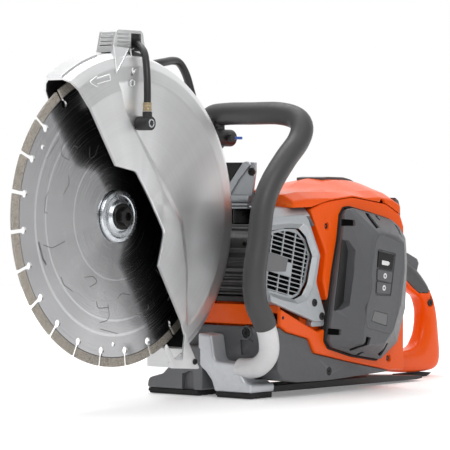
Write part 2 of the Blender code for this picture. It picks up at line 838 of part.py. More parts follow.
def make_battery():
    base = [(x, -99.0, z) for x, z in inset(BATTERY_BASE, 0.6)]
    rim = [(x, -104.0, z) for x, z in inset(BATTERY_BASE, 0.6)]
    face = [(x, BATTERY_OUT, z) for x, z in BATTERY_FACE]
    cover = add("battery_cover", loft([base, rim, face]), "dark_plastic", "battery")
    join(cover, prism(inset(BATTERY_BASE, 3.0), "Y", -100, -92), axis="battery")
    pocket = [(262, 100), (290, 104), (301, 112), (310, 176), (304, 189), (262, 193)]
    cut(
        cover, prism(pocket, "Y", BATTERY_OUT - 5, -104), prism(DISPLAY_SEAT, "Y", -135, -130),
        axis="battery",
    )
    case = [(297, 72), (415, 72), (424, 92), (424, 192), (412, 202), (314, 202), (300, 188)]
    add(
        "battery_case", prism(rounded(case, 6, 2), "Y", -91.7, BAY_DEPTH - 8), "black_plastic",
        "battery",
    )
    add("battery_display", prism(DISPLAY, "Y", -131.8, -130.3), "screen_black", "battery")
    for name, corners in (
        ("battery_button_upper", UPPER_BUTTON), ("battery_button_lower", LOWER_BUTTON),
    ):
        add(name, prism(rounded(corners, 3, 2), "Y", -133.0, -131.4), "dark_plastic", name)


def make_bay():
    tray_outline = [(291.6, 61.5), (429.5, 61.5), (429.5, 206.5), (305, 206.5), (291.6, 196)]
    tray = add("battery_tray", prism(tray_outline, "Y", BODY_LEFT + 5.2, BAY_DEPTH), "black_plastic")
    cut(tray, prism(inset(tray_outline, 2.5), "Y", BODY_LEFT, BAY_DEPTH - 3))
    add("battery_terminal", box(330, 390, BAY_DEPTH - 7.6, BAY_DEPTH - 3.3, 110, 160), "copper")
    add("control_board", box(308, 428, 50, 52, 72, 205), "circuit_green")
    sink = add("board_heat_sink", box(320, 420, 52.4, 56, 90, 190), "silver_cast")
    join(sink, merged(*[box(320 + 12 * i, 323 + 12 * i, 55, 76, 90, 190) for i in range(9)]))


# ---------------------------------------------------------------- handles and feet

REAR_OUTER = [
    (444, 214),
    (505, 191),
    (545, 165.5),
    (573, 152.5),
    (593, 139.5),
    (616, 116.5),
    (630, 92),
    (638.5, 60),
    (641, 28),
    (636, 12),
    (616, 5.6),
    (560, 6),
    (505, 11),
    (444, 17),
]
REAR_INNER = [
    (456, 168),
    (510, 150),
    (545, 130),
    (576, 114),
    (597, 103),
    (605, 87),
    (602, 67),
    (594, 48),
    (578, 37),
    (520, 36),
    (456, 42),
]
GRIP_PAD = [
    (500, 210), (545, 190), (600, 160), (627, 122), (604, 111), (590, 112), (576, 119.5), (556, 132),
    (500, 168),
]


def make_rear_handle():
    outer = rounded(REAR_OUTER, [1, 20, 30, 30, 30, 30, 30, 30, 20, 14, 8, 30, 30, 1], 2)
    inner = rounded(REAR_INNER, 14, 2)
    handle = add("rear_handle", prism(outer, "Y", -REAR_HALF, REAR_HALF), "orange_plastic")
    lever_slot = [(529, 156), (529, 190), (612, 172), (594, 122), (580, 129), (553, 144)]
    trigger_slot = [
        (512, 146), (516, 162), (536, 160), (558, 148), (564, 137), (566, 116), (554, 100),
        (530, 120),
    ]
    cut(
        handle,
        prism(inner, "Y", -30, 30),
        prism(inset(GRIP_PAD, -GAP), "Y", -30, 30),
        prism(lever_slot, "Y", -SLOT_HALF, SLOT_HALF),
        prism(trigger_slot, "Y", -SLOT_HALF, SLOT_HALF),
    )
    pad = add("rear_grip_insert", prism(outer, "Y", -REAR_HALF, REAR_HALF), "grip_rubber")
    keep = add("rear_grip_insert.keep", prism(GRIP_PAD, "Y", -30, 30), None, helper=True)
    combine(pad, keep, "INTERSECT")
    cut(
        pad, prism(lever_slot, "Y", -SLOT_HALF, SLOT_HALF),
        prism(trigger_slot, "Y", -SLOT_HALF, SLOT_HALF),
    )
    trigger = [
        (515, 150), (519, 157), (532, 152), (551, 139.5), (556, 129), (549, 115.5), (540, 113.5),
        (527, 124), (518, 140),
    ]
    add("trigger", prism(rounded(trigger, 3, 2), "Y", -7.5, 7.5), "dark_plastic", "trigger")
    lever = [
        (535, 167), (547, 170), (570, 165), (591, 157), (595, 151), (590, 138), (581, 140),
        (552, 155.5), (537, 159.5),
    ]
    add("lockout_lever", prism(rounded(lever, 2, 2), "Y", -7.5, 7.5), "dark_plastic", "lockout")
    sole = [(560, 0), (606, 0), (616, 3.5), (616, 4.6), (560, 4.6)]
    add("rear_foot_pad", prism(sole, "Y", -12, 12), "black_rubber")


def front_handle_route():
    """Centre line of the front handle: right mount, over the top, down the left side, in to the left foot."""
    right = [(252, 60, 262), (251, 60, 276), (243, 60, 300), (234, 59, 324), (227, 45, 340)]
    top = [(226, 20, 343.5), (226, -20, 343.5), (226, -62, 343)]
    corner = [(229, -86, 337), (224, -99, 325), (212, -102, 308)]
    left = [
        (188, -102, 287), (162.5, -100.5, 258), (149, -99, 230), (139.5, -98.5, 192),
        (133.5, -98.5, 150),
    ]
    low = [
        (136, -99, 118), (149, -100, 96), (161, -98, 74), (169, -91, 54), (171, -76, 40),
        (172.5, -58, 36), (172.5, -45, 35.5),
    ]
    return [*right, *top, *corner, *left, *low]


def front_handle_path():
    return smooth_path(front_handle_route(), 12)


def make_front_handle():
    path = front_handle_path()
    first = min(range(len(path)), key=lambda i: (path[i] - Vector((247, 60, 293))).length)
    last = min(range(len(path)), key=lambda i: (path[i] - Vector((153, -99, 88))).length)
    add("front_handle_tube", sweep(path, TUBE_R, 12), "bare_tube")
    sleeve = add("front_handle_sleeve", sweep(path[first : last + 1], SLEEVE_R, 12), "grip_rubber")
    cut(sleeve, sweep(path, TUBE_R + GAP, 12))
    bracket = [(236, 226), (267, 226), (267, 284), (246, 284), (236, 258)]
    mount = add("handle_bracket", prism(bracket, "Y", -8, 76), "silver_cast")
    bore = [path[0] + (path[0] - path[1]).normalized() * 0.4] + path
    cut(
        mount, sweep(bore, TUBE_R + GAP, 12),
        prism([(244, 220), (259, 220), (259, 272), (250, 272)], "Y", -5, 42),
    )
    saddle = add("motor_cradle", box(192, 281, -58, 36, 114.5, 121.2), "black_plastic")
    cut(saddle, cylinder("Y", MOTOR_X, MOTOR_Z, MOTOR_R + 4, -70, 45, 32))
    add("handle_isolator", cylinder("Z", 251, 18, 10, 209, 225.6, 16), "black_rubber")


def make_feet():
    path = front_handle_path()
    bore = path + [path[-1] + (path[-1] - path[-2]).normalized() * 0.4]
    left = [
        (6, 77), (6, 30), (1, 28), (-8, 20), (-13, 7), (-70, 7), (-70, 17), (-61, 18.5), (-53, 30),
        (-48, 41.5), (-19, 44), (-14, 75),
    ]
    foot = add("front_foot_left", prism(left, "X", FOOT_FRONT, FOOT_REAR), "silver_cast")
    shoulder = box(185.5, 215, -80, 110, 22, 95)
    cut(foot, shoulder, sweep(bore, TUBE_R + GAP, 12))
    right = [(7, 7), (95, 7), (93, 19), (70, 25), (60, 34), (50, 60), (7, 60)]
    other = add("front_foot_right", prism(right, "X", FOOT_FRONT, FOOT_REAR), "grey_cast")
    cut(other, box(185.5, 215, -80, 110, 22, 95))
    for name, low, high in (("foot_pad_left", -68, -15), ("foot_pad_right", 14, 93)):
        tread = [(FOOT_FRONT + 1, 6.7), (FOOT_REAR - 1, 6.7)]
        for i in range(4):
            x = FOOT_REAR - 1 - 11 * i
            tread += [(x, 0), (x - 7, 0), (x - 8, 2.5), (x - 10, 2.5)]
        add(name, prism(tread, "Y", low, high), "black_rubber")
    rail = [
        (FOOT_REAR + GAP, 4), (528, 2), (540, 3), (540, 6), (500, 8.5), (440, 12),
        (FOOT_REAR + GAP, 12),
    ]
    add("skid_rail", prism(rail, "Y", -52, -16), "black_plastic")


def centre_on_origin():
    """Moves the root so that the middle of the machine's base stands on the origin."""
    graph = bpy.context.evaluated_depsgraph_get()
    low, high = Vector((9, 9, 9)), Vector((-9, -9, -9))
    for obj in SCENE.objects:
        if obj.type != "MESH" or obj.hide_render:
            continue
        for vert in obj.evaluated_get(graph).data.vertices:
            spot = obj.matrix_world @ vert.co
            low = Vector(min(a, b) for a, b in zip(low, spot))
            high = Vector(max(a, b) for a, b in zip(high, spot))
    Saw.root.location = Vector((-(low.x + high.x) / 2, -(low.y + high.y) / 2, -low.z))


def main():
    clear_scene()
    finishes()
    root = bpy.data.objects.new("saw", None)
    SCENE.collection.objects.link(root)
    Saw.root = root
    Saw.axes = {"root": root}
    arbor = (0, 0, ARBOR_Z)
    for name, at in (
        ("blade", arbor),
        ("guard", arbor),
        ("motor", (MOTOR_X, 0, MOTOR_Z)),
        ("valve", (229, 16, 314)),
        ("battery", (348, BATTERY_OUT, 130)),
        ("trigger", (519, 0, 150)),
        ("lockout", (541, 0, 164)),
        ("power_button", (441, -58, 221.5)),
    ):
        Saw.axes[name] = empty(name + "_axis", at, root)
    for name, x, z in (("battery_button_upper", 347, 144), ("battery_button_lower", 345, 129)):
        Saw.axes[name] = empty(name + "_axis", (x, -133, z), Saw.axes["battery"])
    make_blade()
    make_arbor()
    make_belt()
    make_motor()
    make_arm()
    make_guard()
    make_water()
    make_housings()
    make_inlet()
    make_keypad()
    make_battery()
    make_bay()
    make_rear_handle()
    make_front_handle()
    make_feet()
    bpy.context.view_layer.update()
    centre_on_origin()


main()
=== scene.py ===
import json
import math

import bmesh
import bpy
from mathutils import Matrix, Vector

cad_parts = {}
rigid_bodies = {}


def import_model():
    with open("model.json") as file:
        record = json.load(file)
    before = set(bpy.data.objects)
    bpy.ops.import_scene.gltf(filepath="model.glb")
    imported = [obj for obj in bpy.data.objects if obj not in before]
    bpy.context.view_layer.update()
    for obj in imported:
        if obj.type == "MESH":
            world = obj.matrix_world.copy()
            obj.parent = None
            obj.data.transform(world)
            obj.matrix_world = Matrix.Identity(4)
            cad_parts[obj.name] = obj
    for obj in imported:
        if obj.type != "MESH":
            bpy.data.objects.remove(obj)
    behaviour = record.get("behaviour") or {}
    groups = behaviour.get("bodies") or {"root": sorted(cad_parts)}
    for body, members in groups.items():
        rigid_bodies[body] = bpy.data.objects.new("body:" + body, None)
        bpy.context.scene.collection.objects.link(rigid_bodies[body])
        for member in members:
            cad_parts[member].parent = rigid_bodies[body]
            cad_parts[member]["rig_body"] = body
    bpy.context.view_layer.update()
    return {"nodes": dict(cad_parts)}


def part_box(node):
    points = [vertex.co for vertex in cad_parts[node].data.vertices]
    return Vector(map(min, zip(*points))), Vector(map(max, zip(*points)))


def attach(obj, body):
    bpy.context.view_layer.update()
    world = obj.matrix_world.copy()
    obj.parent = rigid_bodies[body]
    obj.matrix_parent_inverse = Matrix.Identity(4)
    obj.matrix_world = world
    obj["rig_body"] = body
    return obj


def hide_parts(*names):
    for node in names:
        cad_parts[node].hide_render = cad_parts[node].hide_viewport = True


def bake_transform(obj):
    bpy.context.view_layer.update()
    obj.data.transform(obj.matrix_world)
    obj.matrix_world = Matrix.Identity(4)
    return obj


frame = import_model()

# Points below are in the design's own millimetres: the blade's centre at X = 0, Y = 0, Z = ARBOR_Z, the blade
# towards -X, the rear handle towards +X, the battery on the -Y side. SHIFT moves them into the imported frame.
# An outline is a list of points in the plane across its axis, as place() puts them.
MM = 0.001
ARBOR_Z = 220.0
blade_low, blade_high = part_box("blade")
SHIFT = (blade_low + blade_high) / 2 / MM - Vector((0, 0, ARBOR_Z))
SCENE = bpy.context.scene

# Blade: radii, thicknesses as halves, and its 24 segments with a keyhole gullet between each two.
CORE_R, BLADE_R, BORE_R, SEGMENTS = 165.0, 175.0, 12.7, 24
CORE_HALF, SEGMENT_HALF, WELD_HALF, FILLING_HALF = 1.3, 1.7, 1.42, 1.15
GULLET_PHASE, GULLET_HALF, KEYHOLE_R, KEYHOLE_AT = 5.0, 2.2, 4.4, 157.0
PIN_HOLE_R, PIN_HOLE_AT, PIN_HOLE_PHASE = 3.0, 148.5, 27.5
THIRD = 120.0

# Guard: rim, start and end of its arc in degrees, and its raised left wall.
GUARD_R, GUARD_LOW, GUARD_HIGH, GUARD_WALL = 190.0, -58.5, 123.5, 3.0
GUARD_INNER_R, GUARD_HALF, GUARD_FACE = GUARD_R - GUARD_WALL, 33.0, -35.0
GUARD_TOP, TEE_X, TEE_Z = 437.0, 21.0, 421.0
ELBOW_X, ELBOW_Z, ELBOW_FACE, NECK_Y = 4.0, 328.0, 51.0, 44.5

# Drive, body and handles.
MOTOR_X, MOTOR_Z, MOTOR_R, MOTOR_FINS = 238.0, 165.0, 40.0, 22
BODY_LEFT, BODY_RIGHT, BODY_FRONT, BAY_FRONT = -96.0, 86.0, 186.0, 284.0
TUBE_R, SLEEVE_R = 12.2, 13.8
REAR_HALF, SLOT_HALF = 14.5, 8.0
HANDLE_SCREW_AT = (612.0, 98.0)


# ---------------------------------------------------------------- outlines and solids


def place(axis, across, up, along):
    """A point from its two coordinates in the outline's plane and its coordinate along the axis."""
    if axis == "Y":
        return (across, along, up)
    if axis == "X":
        return (along, across, up)
    return (across, up, along)


def loft(sections, ring=False):
    """A closed solid through loops with equal numbers of points; ring joins the last loop to the first."""
    bm = bmesh.new()
    rings = [[bm.verts.new(point) for point in loop] for loop in sections]
    count = len(rings[0])
    pairs = list(zip(rings, rings[1:])) + ([(rings[-1], rings[0])] if ring else [])
    for low, high in pairs:
        for i in range(count):
            j = (i + 1) % count
            bm.faces.new((low[i], low[j], high[j], high[i]))
    if not ring:
        bm.faces.new(rings[0])
        bm.faces.new(list(reversed(rings[-1])))
    return bm


def prism(outline, axis, low, high):
    """The straight solid that an outline sweeps along an axis, from low to high."""
    return loft([[place(axis, a, b, at) for a, b in outline] for at in (low, high)])


def soft_prism(outline, axis, low, high, low_edge=0.0, high_edge=0.0, steps=4):
    """A prism whose end faces meet its sides in a rounded edge, with a radius for each end."""
    stations = []
    for end, edge, inwards in ((low, low_edge, 1), (high, high_edge, -1)):
        turns = [90 * k / steps for k in range(steps + 1)] if edge else [90]
        found = []
        for turn in turns:
            away = edge * (1 - math.sin(math.radians(turn)))
            depth = edge * (1 - math.cos(math.radians(turn)))
            found.append((end + inwards * depth, away))
        stations += found if inwards > 0 else reversed(found)
    return loft([[place(axis, a, b, at) for a, b in inset(outline, away)] for at, away in stations])


def merged(*parts):
    """One bmesh that holds several bodies that don't touch."""
    whole = bmesh.new()
    for part in parts:
        mesh = bpy.data.meshes.new("part")
        bmesh.ops.recalc_face_normals(part, faces=part.faces)
        part.to_mesh(mesh)
        part.free()
        whole.from_mesh(mesh)
        bpy.data.meshes.remove(mesh)
    return whole


def wrapped(points):
    """The convex solid round a few points."""
    bm = bmesh.new()
    for point in points:
        bm.verts.new(point)
    made = bmesh.ops.convex_hull(bm, input=bm.verts)
    unused = made["geom_interior"] + made["geom_unused"]
    spare = {part for part in unused if isinstance(part, bmesh.types.BMVert)}
    bmesh.ops.delete(bm, geom=list(spare), context="VERTS")
    bmesh.ops.dissolve_limit(bm, angle_limit=math.radians(1), verts=bm.verts, edges=bm.edges)
    return bm


def arc(cx, cy, radius, start, end, steps):
    """Points on an arc, its angles in degrees."""
    turns = [math.radians(start + (end - start) * i / steps) for i in range(steps + 1)]
    return [(cx + radius * math.cos(t), cy + radius * math.sin(t)) for t in turns]


def circle(cx, cy, radius, steps=48):
    return arc(cx, cy, radius, 0, 360, steps)[:-1]


def inset(outline, distance):
    """The closed outline moved inwards by distance."""
    if not distance:
        return list(outline)
    area = sum(a[0] * b[1] - b[0] * a[1] for a, b in zip(outline, outline[1:] + outline[:1]))
    sign = 1 if area > 0 else -1
    moved = []
    for i, corner in enumerate(outline):
        here = Vector(corner)
        before = (here - Vector(outline[i - 1])).normalized()
        after = (Vector(outline[(i + 1) % len(outline)]) - here).normalized()
        normal = Vector((-before.y, before.x)) * sign
        middle = (normal + Vector((-after.y, after.x)) * sign).normalized()
        moved.append(tuple(here + middle * distance / max(0.35, middle.dot(normal))))
    return moved


def rounded(corners, radius, steps=4, closed=True):
    """The outline with its corners rounded; radius is a number, or one number for each corner."""
    radii = radius if isinstance(radius, (list, tuple)) else [radius] * len(corners)
    points = []
    for i, corner in enumerate(corners):
        here = Vector(corner)
        at_end = not closed and i in (0, len(corners) - 1)
        if radii[i] <= 0 or at_end:
            points.append(tuple(here))
            continue
        before = Vector(corners[i - 1]) - here
        after = Vector(corners[(i + 1) % len(corners)]) - here
        half = before.angle(after) / 2
        reach = min(radii[i] / math.tan(half), 0.48 * before.length, 0.48 * after.length)
        start = here + before.normalized() * reach
        end = here + after.normalized() * reach
        for k in range(steps + 1):
            t = k / steps
            points.append(tuple(start.lerp(here, t).lerp(here.lerp(end, t), t)))
    return points


def hull(points):
    """The convex outline round a set of points, counterclockwise."""
    points = sorted(set((round(x, 6), round(y, 6)) for x, y in points))

    def turn(a, b, c):
        return (b[0] - a[0]) * (c[1] - a[1]) - (b[1] - a[1]) * (c[0] - a[0])

    def side(ordered):
        kept = []
        for p in ordered:
            while len(kept) > 1 and turn(kept[-2], kept[-1], p) <= 0:
                kept.pop()
            kept.append(p)
        return kept[:-1]

    return side(points) + side(reversed(points))


def around_pulleys(front_r, rear_r):
    """The outline of a belt run round circles at the arbor and at the motor."""
    return hull(circle(0, ARBOR_Z, front_r, 64) + circle(MOTOR_X, MOTOR_Z, rear_r, 64))


def revolve(profile, centre, steps=64, axis="Y"):
    """A solid turned about the axis through centre, from a closed profile of (radius, along) points."""
    bm = bmesh.new()
    on_axis = {i: bm.verts.new(place(axis, *centre, y)) for i, (r, y) in enumerate(profile) if r == 0}
    rings = []
    for k in range(steps):
        angle = 2 * math.pi * k / steps
        ring = []
        for i, (r, y) in enumerate(profile):
            a, b = centre[0] + r * math.cos(angle), centre[1] + r * math.sin(angle)
            ring.append(on_axis[i] if i in on_axis else bm.verts.new(place(axis, a, b, y)))
        rings.append(ring)
    for k in range(steps):
        this, following = rings[k], rings[(k + 1) % steps]
        for i in range(len(profile)):
            j = (i + 1) % len(profile)
            corners = []
            for vert in (this[i], this[j], following[j], following[i]):
                if vert not in corners:
                    corners.append(vert)
            if len(corners) > 2:
                bm.faces.new(corners)
    return bm


def catmull_rom(a, b, c, d, t):
    """The point at t, from 0 to 1, between b and c on a smooth curve through four points."""
    square = 2 * a - 5 * b + 4 * c - d
    cube = 3 * b - a - 3 * c + d
    return 0.5 * ((2 * b) + (c - a) * t + square * t**2 + cube * t**3)


def smooth_path(points, spacing):
    """Points about spacing apart on a Catmull-Rom curve through the route's own points."""
    route = [Vector(p) for p in points]
    route = [2 * route[0] - route[1], *route, 2 * route[-1] - route[-2]]
    dense = []
    for a, b, c, d in zip(route, route[1:], route[2:], route[3:]):
        pieces = max(2, math.ceil((c - b).length / spacing))
        dense += [catmull_rom(a, b, c, d, k / pieces) for k in range(pieces)]
    return dense + [route[-2]]


def sweep(path, radius, sides=24, round_ends=0.0):
    """A round bar along a path. round_ends is the radius of the rounding at its two ends."""
    path = [Vector(p) for p in path]
    lengths = [0.0]
    for a, b in zip(path, path[1:]):
        lengths.append(lengths[-1] + (b - a).length)
    if round_ends:
        extra = [round_ends * (1 - math.cos(math.radians(t))) for t in (0, 30, 60, 90)]
        stops = sorted(set(extra + [s for s in lengths if round_ends < s < lengths[-1] - round_ends]))
        stops += [lengths[-1] - s for s in reversed(extra)]
        path = [point_along(path, lengths, s) for s in stops]
        lengths = stops
    last = len(path) - 1
    tangents = [(path[min(i + 1, last)] - path[max(i - 1, 0)]).normalized() for i in range(last + 1)]
    side = tangents[0].orthogonal().normalized()
    loops = []
    for point, tangent, length in zip(path, tangents, lengths):
        side = (side - tangent * side.dot(tangent)).normalized()
        up = tangent.cross(side)
        to_end = min(length, lengths[-1] - length)
        size = radius
        if to_end < round_ends:
            size -= round_ends - math.sqrt(round_ends**2 - (round_ends - to_end) ** 2)
        turns = [2 * math.pi * k / sides for k in range(sides)]
        loops.append([point + (side * math.cos(t) + up * math.sin(t)) * size for t in turns])
    return loft(loops)


def point_along(path, lengths, distance):
    for i in range(1, len(path)):
        if distance <= lengths[i]:
            share = (distance - lengths[i - 1]) / max(1e-9, lengths[i] - lengths[i - 1])
            return path[i - 1].lerp(path[i], share)
    return path[-1]


def ribbon(points, width):
    """The closed outline of a strip of one width along a line."""
    line = [Vector(p) for p in points]
    left, right = [], []
    for i, here in enumerate(line):
        along = (line[min(i + 1, len(line) - 1)] - line[max(i - 1, 0)]).normalized()
        normal = Vector((-along.y, along.x)) * width / 2
        left.append(tuple(here + normal))
        right.append(tuple(here - normal))
    return left + right[::-1]


def box(x0, x1, y0, y1, z0, z1):
    return prism([(x0, z0), (x1, z0), (x1, z1), (x0, z1)], "Y", y0, y1)


def cylinder(axis, a, b, radius, low, high, steps=40):
    return prism(circle(a, b, radius, steps), axis, low, high)


# ---------------------------------------------------------------- pieces


def mesh_object(name, bm):
    """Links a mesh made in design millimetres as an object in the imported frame, in metres."""
    bmesh.ops.recalc_face_normals(bm, faces=bm.faces)
    for vert in bm.verts:
        vert.co = (vert.co + SHIFT) * MM
    mesh = bpy.data.meshes.new(name)
    bm.to_mesh(mesh)
    bm.free()
    obj = bpy.data.objects.new(name, mesh)
    SCENE.collection.objects.link(obj)
    return obj


def apply_modifiers(obj):
    """Bakes the object's modifiers into its mesh."""
    bpy.context.view_layer.update()
    graph = bpy.context.evaluated_depsgraph_get()
    made = bpy.data.meshes.new_from_object(obj.evaluated_get(graph))
    obj.modifiers.clear()
    obj.data = made


def shape_with(obj, joins, cuts):
    """Joins and cuts the object's mesh with solids."""
    tools = []
    for operation, shapes in (("UNION", joins), ("DIFFERENCE", cuts)):
        for bm in shapes:
            tool = mesh_object(obj.name + ".tool", bm)
            modifier = obj.modifiers.new(operation.lower(), "BOOLEAN")
            modifier.operation = operation
            modifier.object = tool
            modifier.solver = "EXACT"
            tools.append(tool)
    if tools:
        apply_modifiers(obj)
    for tool in tools:
        bpy.data.objects.remove(tool)


def round_edges(obj, width, steps, angle, clamp):
    modifier = obj.modifiers.new("bevel", "BEVEL")
    modifier.width = width * MM
    modifier.segments = steps
    modifier.limit_method = "ANGLE"
    modifier.angle_limit = math.radians(angle)
    modifier.use_clamp_overlap = clamp
    modifier.miter_outer = "MITER_ARC"
    apply_modifiers(obj)


# The record's slot that a look belongs to.
SLOTS = {
    "guard_silver": "silver_cast",
    "silver_cast": "silver_cast",
    "foot_silver": "silver_cast",
    "label_grey": "silver_cast",
    "grey_cast": "grey_cast",
    "motor_grey": "grey_cast",
    "black_oxide": "grey_cast",
    "guard_shade_black": "black_plastic",
    "painted_shade_black": "black_plastic",
    "black_plastic": "black_plastic",
    "dark_plastic": "dark_plastic",
    "orange": "body_orange",
    "grip_rubber": "grip_rubber",
    "hose_rubber": "black_rubber",
    "tread_rubber": "black_rubber",
    "bare_tube": "bare_tube",
    "zinc": "bright_steel",
    "brass": "bright_steel",
    "blade_steel": "blade_steel",
    "sintered": "blade_steel",
    "blue": "valve_blue",
    "screen": "display",
    "print": "display",
}
KEPT_SHARP = 40.0


def piece(name, bm, look, body="machine", replaces=(), **details):
    """Makes one visible piece, in the look and on the body that it rides on; the details are as in dress."""
    return dress(mesh_object(name, bm), look, body, replaces, **details)


def dress(
    obj, look, body, replaces=(), slot=None, joins=(), cuts=(), bevel=0.0, steps=2, angle=32.0, clamp=False,
):
    """Joins, cuts and rounds edges sharper than the angle, then gives the look and the body."""
    shape_with(obj, joins, cuts)
    obj.data.shade_smooth()
    if bevel:
        round_edges(obj, bevel, steps, angle, clamp)
    obj.data.shade_smooth()
    obj.data.set_sharp_from_angle(angle=math.radians(KEPT_SHARP))
    weighted = obj.modifiers.new("weighted", "WEIGHTED_NORMAL")
    weighted.keep_sharp = True
    obj.data.materials.clear()
    obj.data.materials.append(LOOKS[look])
    slot or SLOTS[look]
    if body:
        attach(obj, body)
    if replaces:
        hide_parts(replaces)
    return obj


def refined(node, look, bevel=0.8):
    """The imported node's own shape with its edges rounded."""
    source = frame["nodes"][node]
    obj = bpy.data.objects.new(node + "_finished", source.data.copy())
    SCENE.collection.objects.link(obj)
    bm = bmesh.new()
    bm.from_mesh(obj.data)
    bmesh.ops.remove_doubles(bm, verts=bm.verts, dist=0.01 * MM)
    bmesh.ops.dissolve_limit(bm, angle_limit=math.radians(1.5), verts=bm.verts, edges=bm.edges)
    bm.to_mesh(obj.data)
    bm.free()
    return dress(obj, look, source["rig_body"], node, bevel=bevel)


# ---------------------------------------------------------------- materials

LOOKS = {}


def node(tree, kind, inputs=None, **settings):
    """A shader node; an input is a value, or a socket to link from."""
    made = tree.nodes.new("ShaderNode" + kind)
    for key, value in settings.items():
        setattr(made, key, value)
    for key, value in (inputs or {}).items():
        if isinstance(value, bpy.types.NodeSocket):
            tree.links.new(value, made.inputs[key])
        else:
            made.inputs[key].default_value = value
    return made


def ramp(tree, factor, *stops):
    """A colour that depends on factor, through (position, (red, green, blue)) stops."""
    made = node(tree, "ValToRGB", {"Fac": factor})
    elements = made.color_ramp.elements
    for i, (position, colour) in enumerate(stops):
        element = elements[i] if i < 2 else elements.new(position)
        element.position = position
        element.color = (*colour, 1.0)
    return made.outputs["Color"]


def scaled(colour, factor):
    return tuple(min(1.0, part * factor) for part in colour)


def new_look(name):
    made = bpy.data.materials.new(name)
    made.use_nodes = True
    LOOKS[name] = made
    return made.node_tree, made.node_tree.nodes["Principled BSDF"]


def fractal(tree, where, scale, detail=3.0, roughness=0.55):
    inputs = {"Vector": where, "Scale": scale, "Detail": detail, "Roughness": roughness}
    return node(tree, "TexNoise", inputs).outputs["Fac"]


def mapped(tree, value, low, high, from_low=0.3, from_high=0.7):
    """The value stretched so that from_low gives low and from_high gives high."""
    inputs = {"Value": value, "From Min": from_low, "From Max": from_high, "To Min": low, "To Max": high}
    return node(tree, "MapRange", inputs).outputs["Result"]


def blended(tree, factor, first, second, blend_type="MIX"):
    inputs = {"Fac": factor, "Color1": first, "Color2": second}
    return node(tree, "MixRGB", inputs, blend_type=blend_type).outputs["Color"]


def finish(name, colour, roughness, metallic=0.0, grain=900.0, relief=0.02, mottle=0.06, spread=0.06,
           wear_and_highlight=None, coat=0.0, stretch=(1, 1, 1), specular=0.5):
    """A made surface: colour and gloss that vary a little, a moulded or cast grain, and edges painted lighter,
    partly edge wear and partly a painted highlight.
    """
    tree, shader = new_look(name)
    where = node(tree, "TexCoord").outputs["Object"]
    along = node(tree, "Mapping", {"Vector": where, "Scale": stretch}).outputs["Vector"]
    cloud = fractal(tree, along, 11.0, 5.0, 0.62)
    dust = fractal(tree, along, 160.0, 4.0, 0.6)
    skin = fractal(tree, along, grain, 2.0)
    tone = ramp(tree, cloud, (0.3, scaled(colour, 1 - mottle)), (0.7, scaled(colour, 1 + mottle)))
    tone = blended(tree, mapped(tree, dust, 0.0, 0.35), tone, (*scaled(colour, 1 - 1.5 * mottle), 1.0))
    # Edges lighter by pointiness: partly wear, partly a painted edge highlight.
    if wear_and_highlight:
        edge = mapped(tree, node(tree, "NewGeometry").outputs["Pointiness"], 0.0, 1.0, 0.53, 0.62)
        rubbed_and_lit = node(tree, "Math", {0: edge, 1: mapped(tree, dust, 0.0, 0.8)}, operation="MULTIPLY")
        tone = blended(tree, rubbed_and_lit.outputs["Value"], tone, (*wear_and_highlight, 1.0))
    tree.links.new(tone, shader.inputs["Base Color"])
    tree.links.new(mapped(tree, dust, roughness - spread, roughness + spread), shader.inputs["Roughness"])
    bump = node(tree, "Bump", {"Height": skin, "Distance": relief * MM, "Strength": 1.0})
    tree.links.new(bump.outputs["Normal"], shader.inputs["Normal"])
    shader.inputs["Metallic"].default_value = metallic
    shader.inputs["Specular IOR Level"].default_value = specular
    shader.inputs["Coat Weight"].default_value = coat
    shader.inputs["Coat Roughness"].default_value = 0.08


def turned_finish(name, colour, roughness, rings, bands=(), metallic=1.0):
    """Steel ground in circles round the arbor, with brighter polished bands at given radii in millimetres, and
    a painted sheen: its tone lighter and darker in wedges round the arbor.
    """
    tree, shader = new_look(name)
    where = node(tree, "TexCoord").outputs["Object"]
    centre = (SHIFT + Vector((0, 0, ARBOR_Z))) * MM
    from_arbor = node(tree, "Mapping", {"Vector": where, "Location": tuple(-centre)}).outputs["Vector"]
    flat = node(tree, "VectorMath", {0: from_arbor, 1: (1, 0, 1)}, operation="MULTIPLY").outputs["Vector"]
    radius = node(tree, "VectorMath", {0: flat}, operation="LENGTH").outputs["Value"]
    way = node(tree, "VectorMath", {0: flat}, operation="NORMALIZE").outputs["Vector"]
    many = node(tree, "Math", {0: radius, 1: rings}, operation="MULTIPLY").outputs["Value"]
    inputs = {"W": many, "Vector": way, "Scale": 1.0, "Detail": 3.0}
    scratches = node(tree, "TexNoise", inputs, noise_dimensions="4D")
    # Painted sheen: the tone turns lighter and darker in broad wedges round the arbor, standing in for the
    # conic reflection of turned steel.
    sheen_wedges = fractal(tree, way, 2.2, 3.0)
    tone = ramp(tree, sheen_wedges, (0.3, scaled(colour, 0.92)), (0.7, scaled(colour, 1.06)))
    fine = ramp(tree, scratches.outputs["Fac"], (0.3, (0.91,) * 3), (0.7, (1.0,) * 3))
    tone = blended(tree, 1.0, tone, fine, "MULTIPLY")
    gloss = mapped(tree, scratches.outputs["Fac"], roughness - 0.08, roughness + 0.08)
    for middle, half in bands:
        off = node(tree, "Math", {0: radius, 1: middle * MM}, operation="SUBTRACT").outputs["Value"]
        away = node(tree, "Math", {0: off}, operation="ABSOLUTE").outputs["Value"]
        inside = mapped(tree, away, 1.0, 0.0, half * MM * 0.5, half * MM)
        tone = blended(tree, inside, tone, (*scaled(colour, 1.25), 1.0))
    tree.links.new(tone, shader.inputs["Base Color"])
    tree.links.new(gloss, shader.inputs["Roughness"])
    bump = node(tree, "Bump", {"Height": scratches.outputs["Fac"], "Distance": 0.006 * MM, "Strength": 1.0})
    tree.links.new(bump.outputs["Normal"], shader.inputs["Normal"])
    tangent = node(tree, "Tangent", direction_type="RADIAL", axis="Y").outputs["Tangent"]
    tree.links.new(tangent, shader.inputs["Tangent"])
    shader.inputs["Metallic"].default_value = metallic
    shader.inputs["Anisotropic"].default_value = 0.6


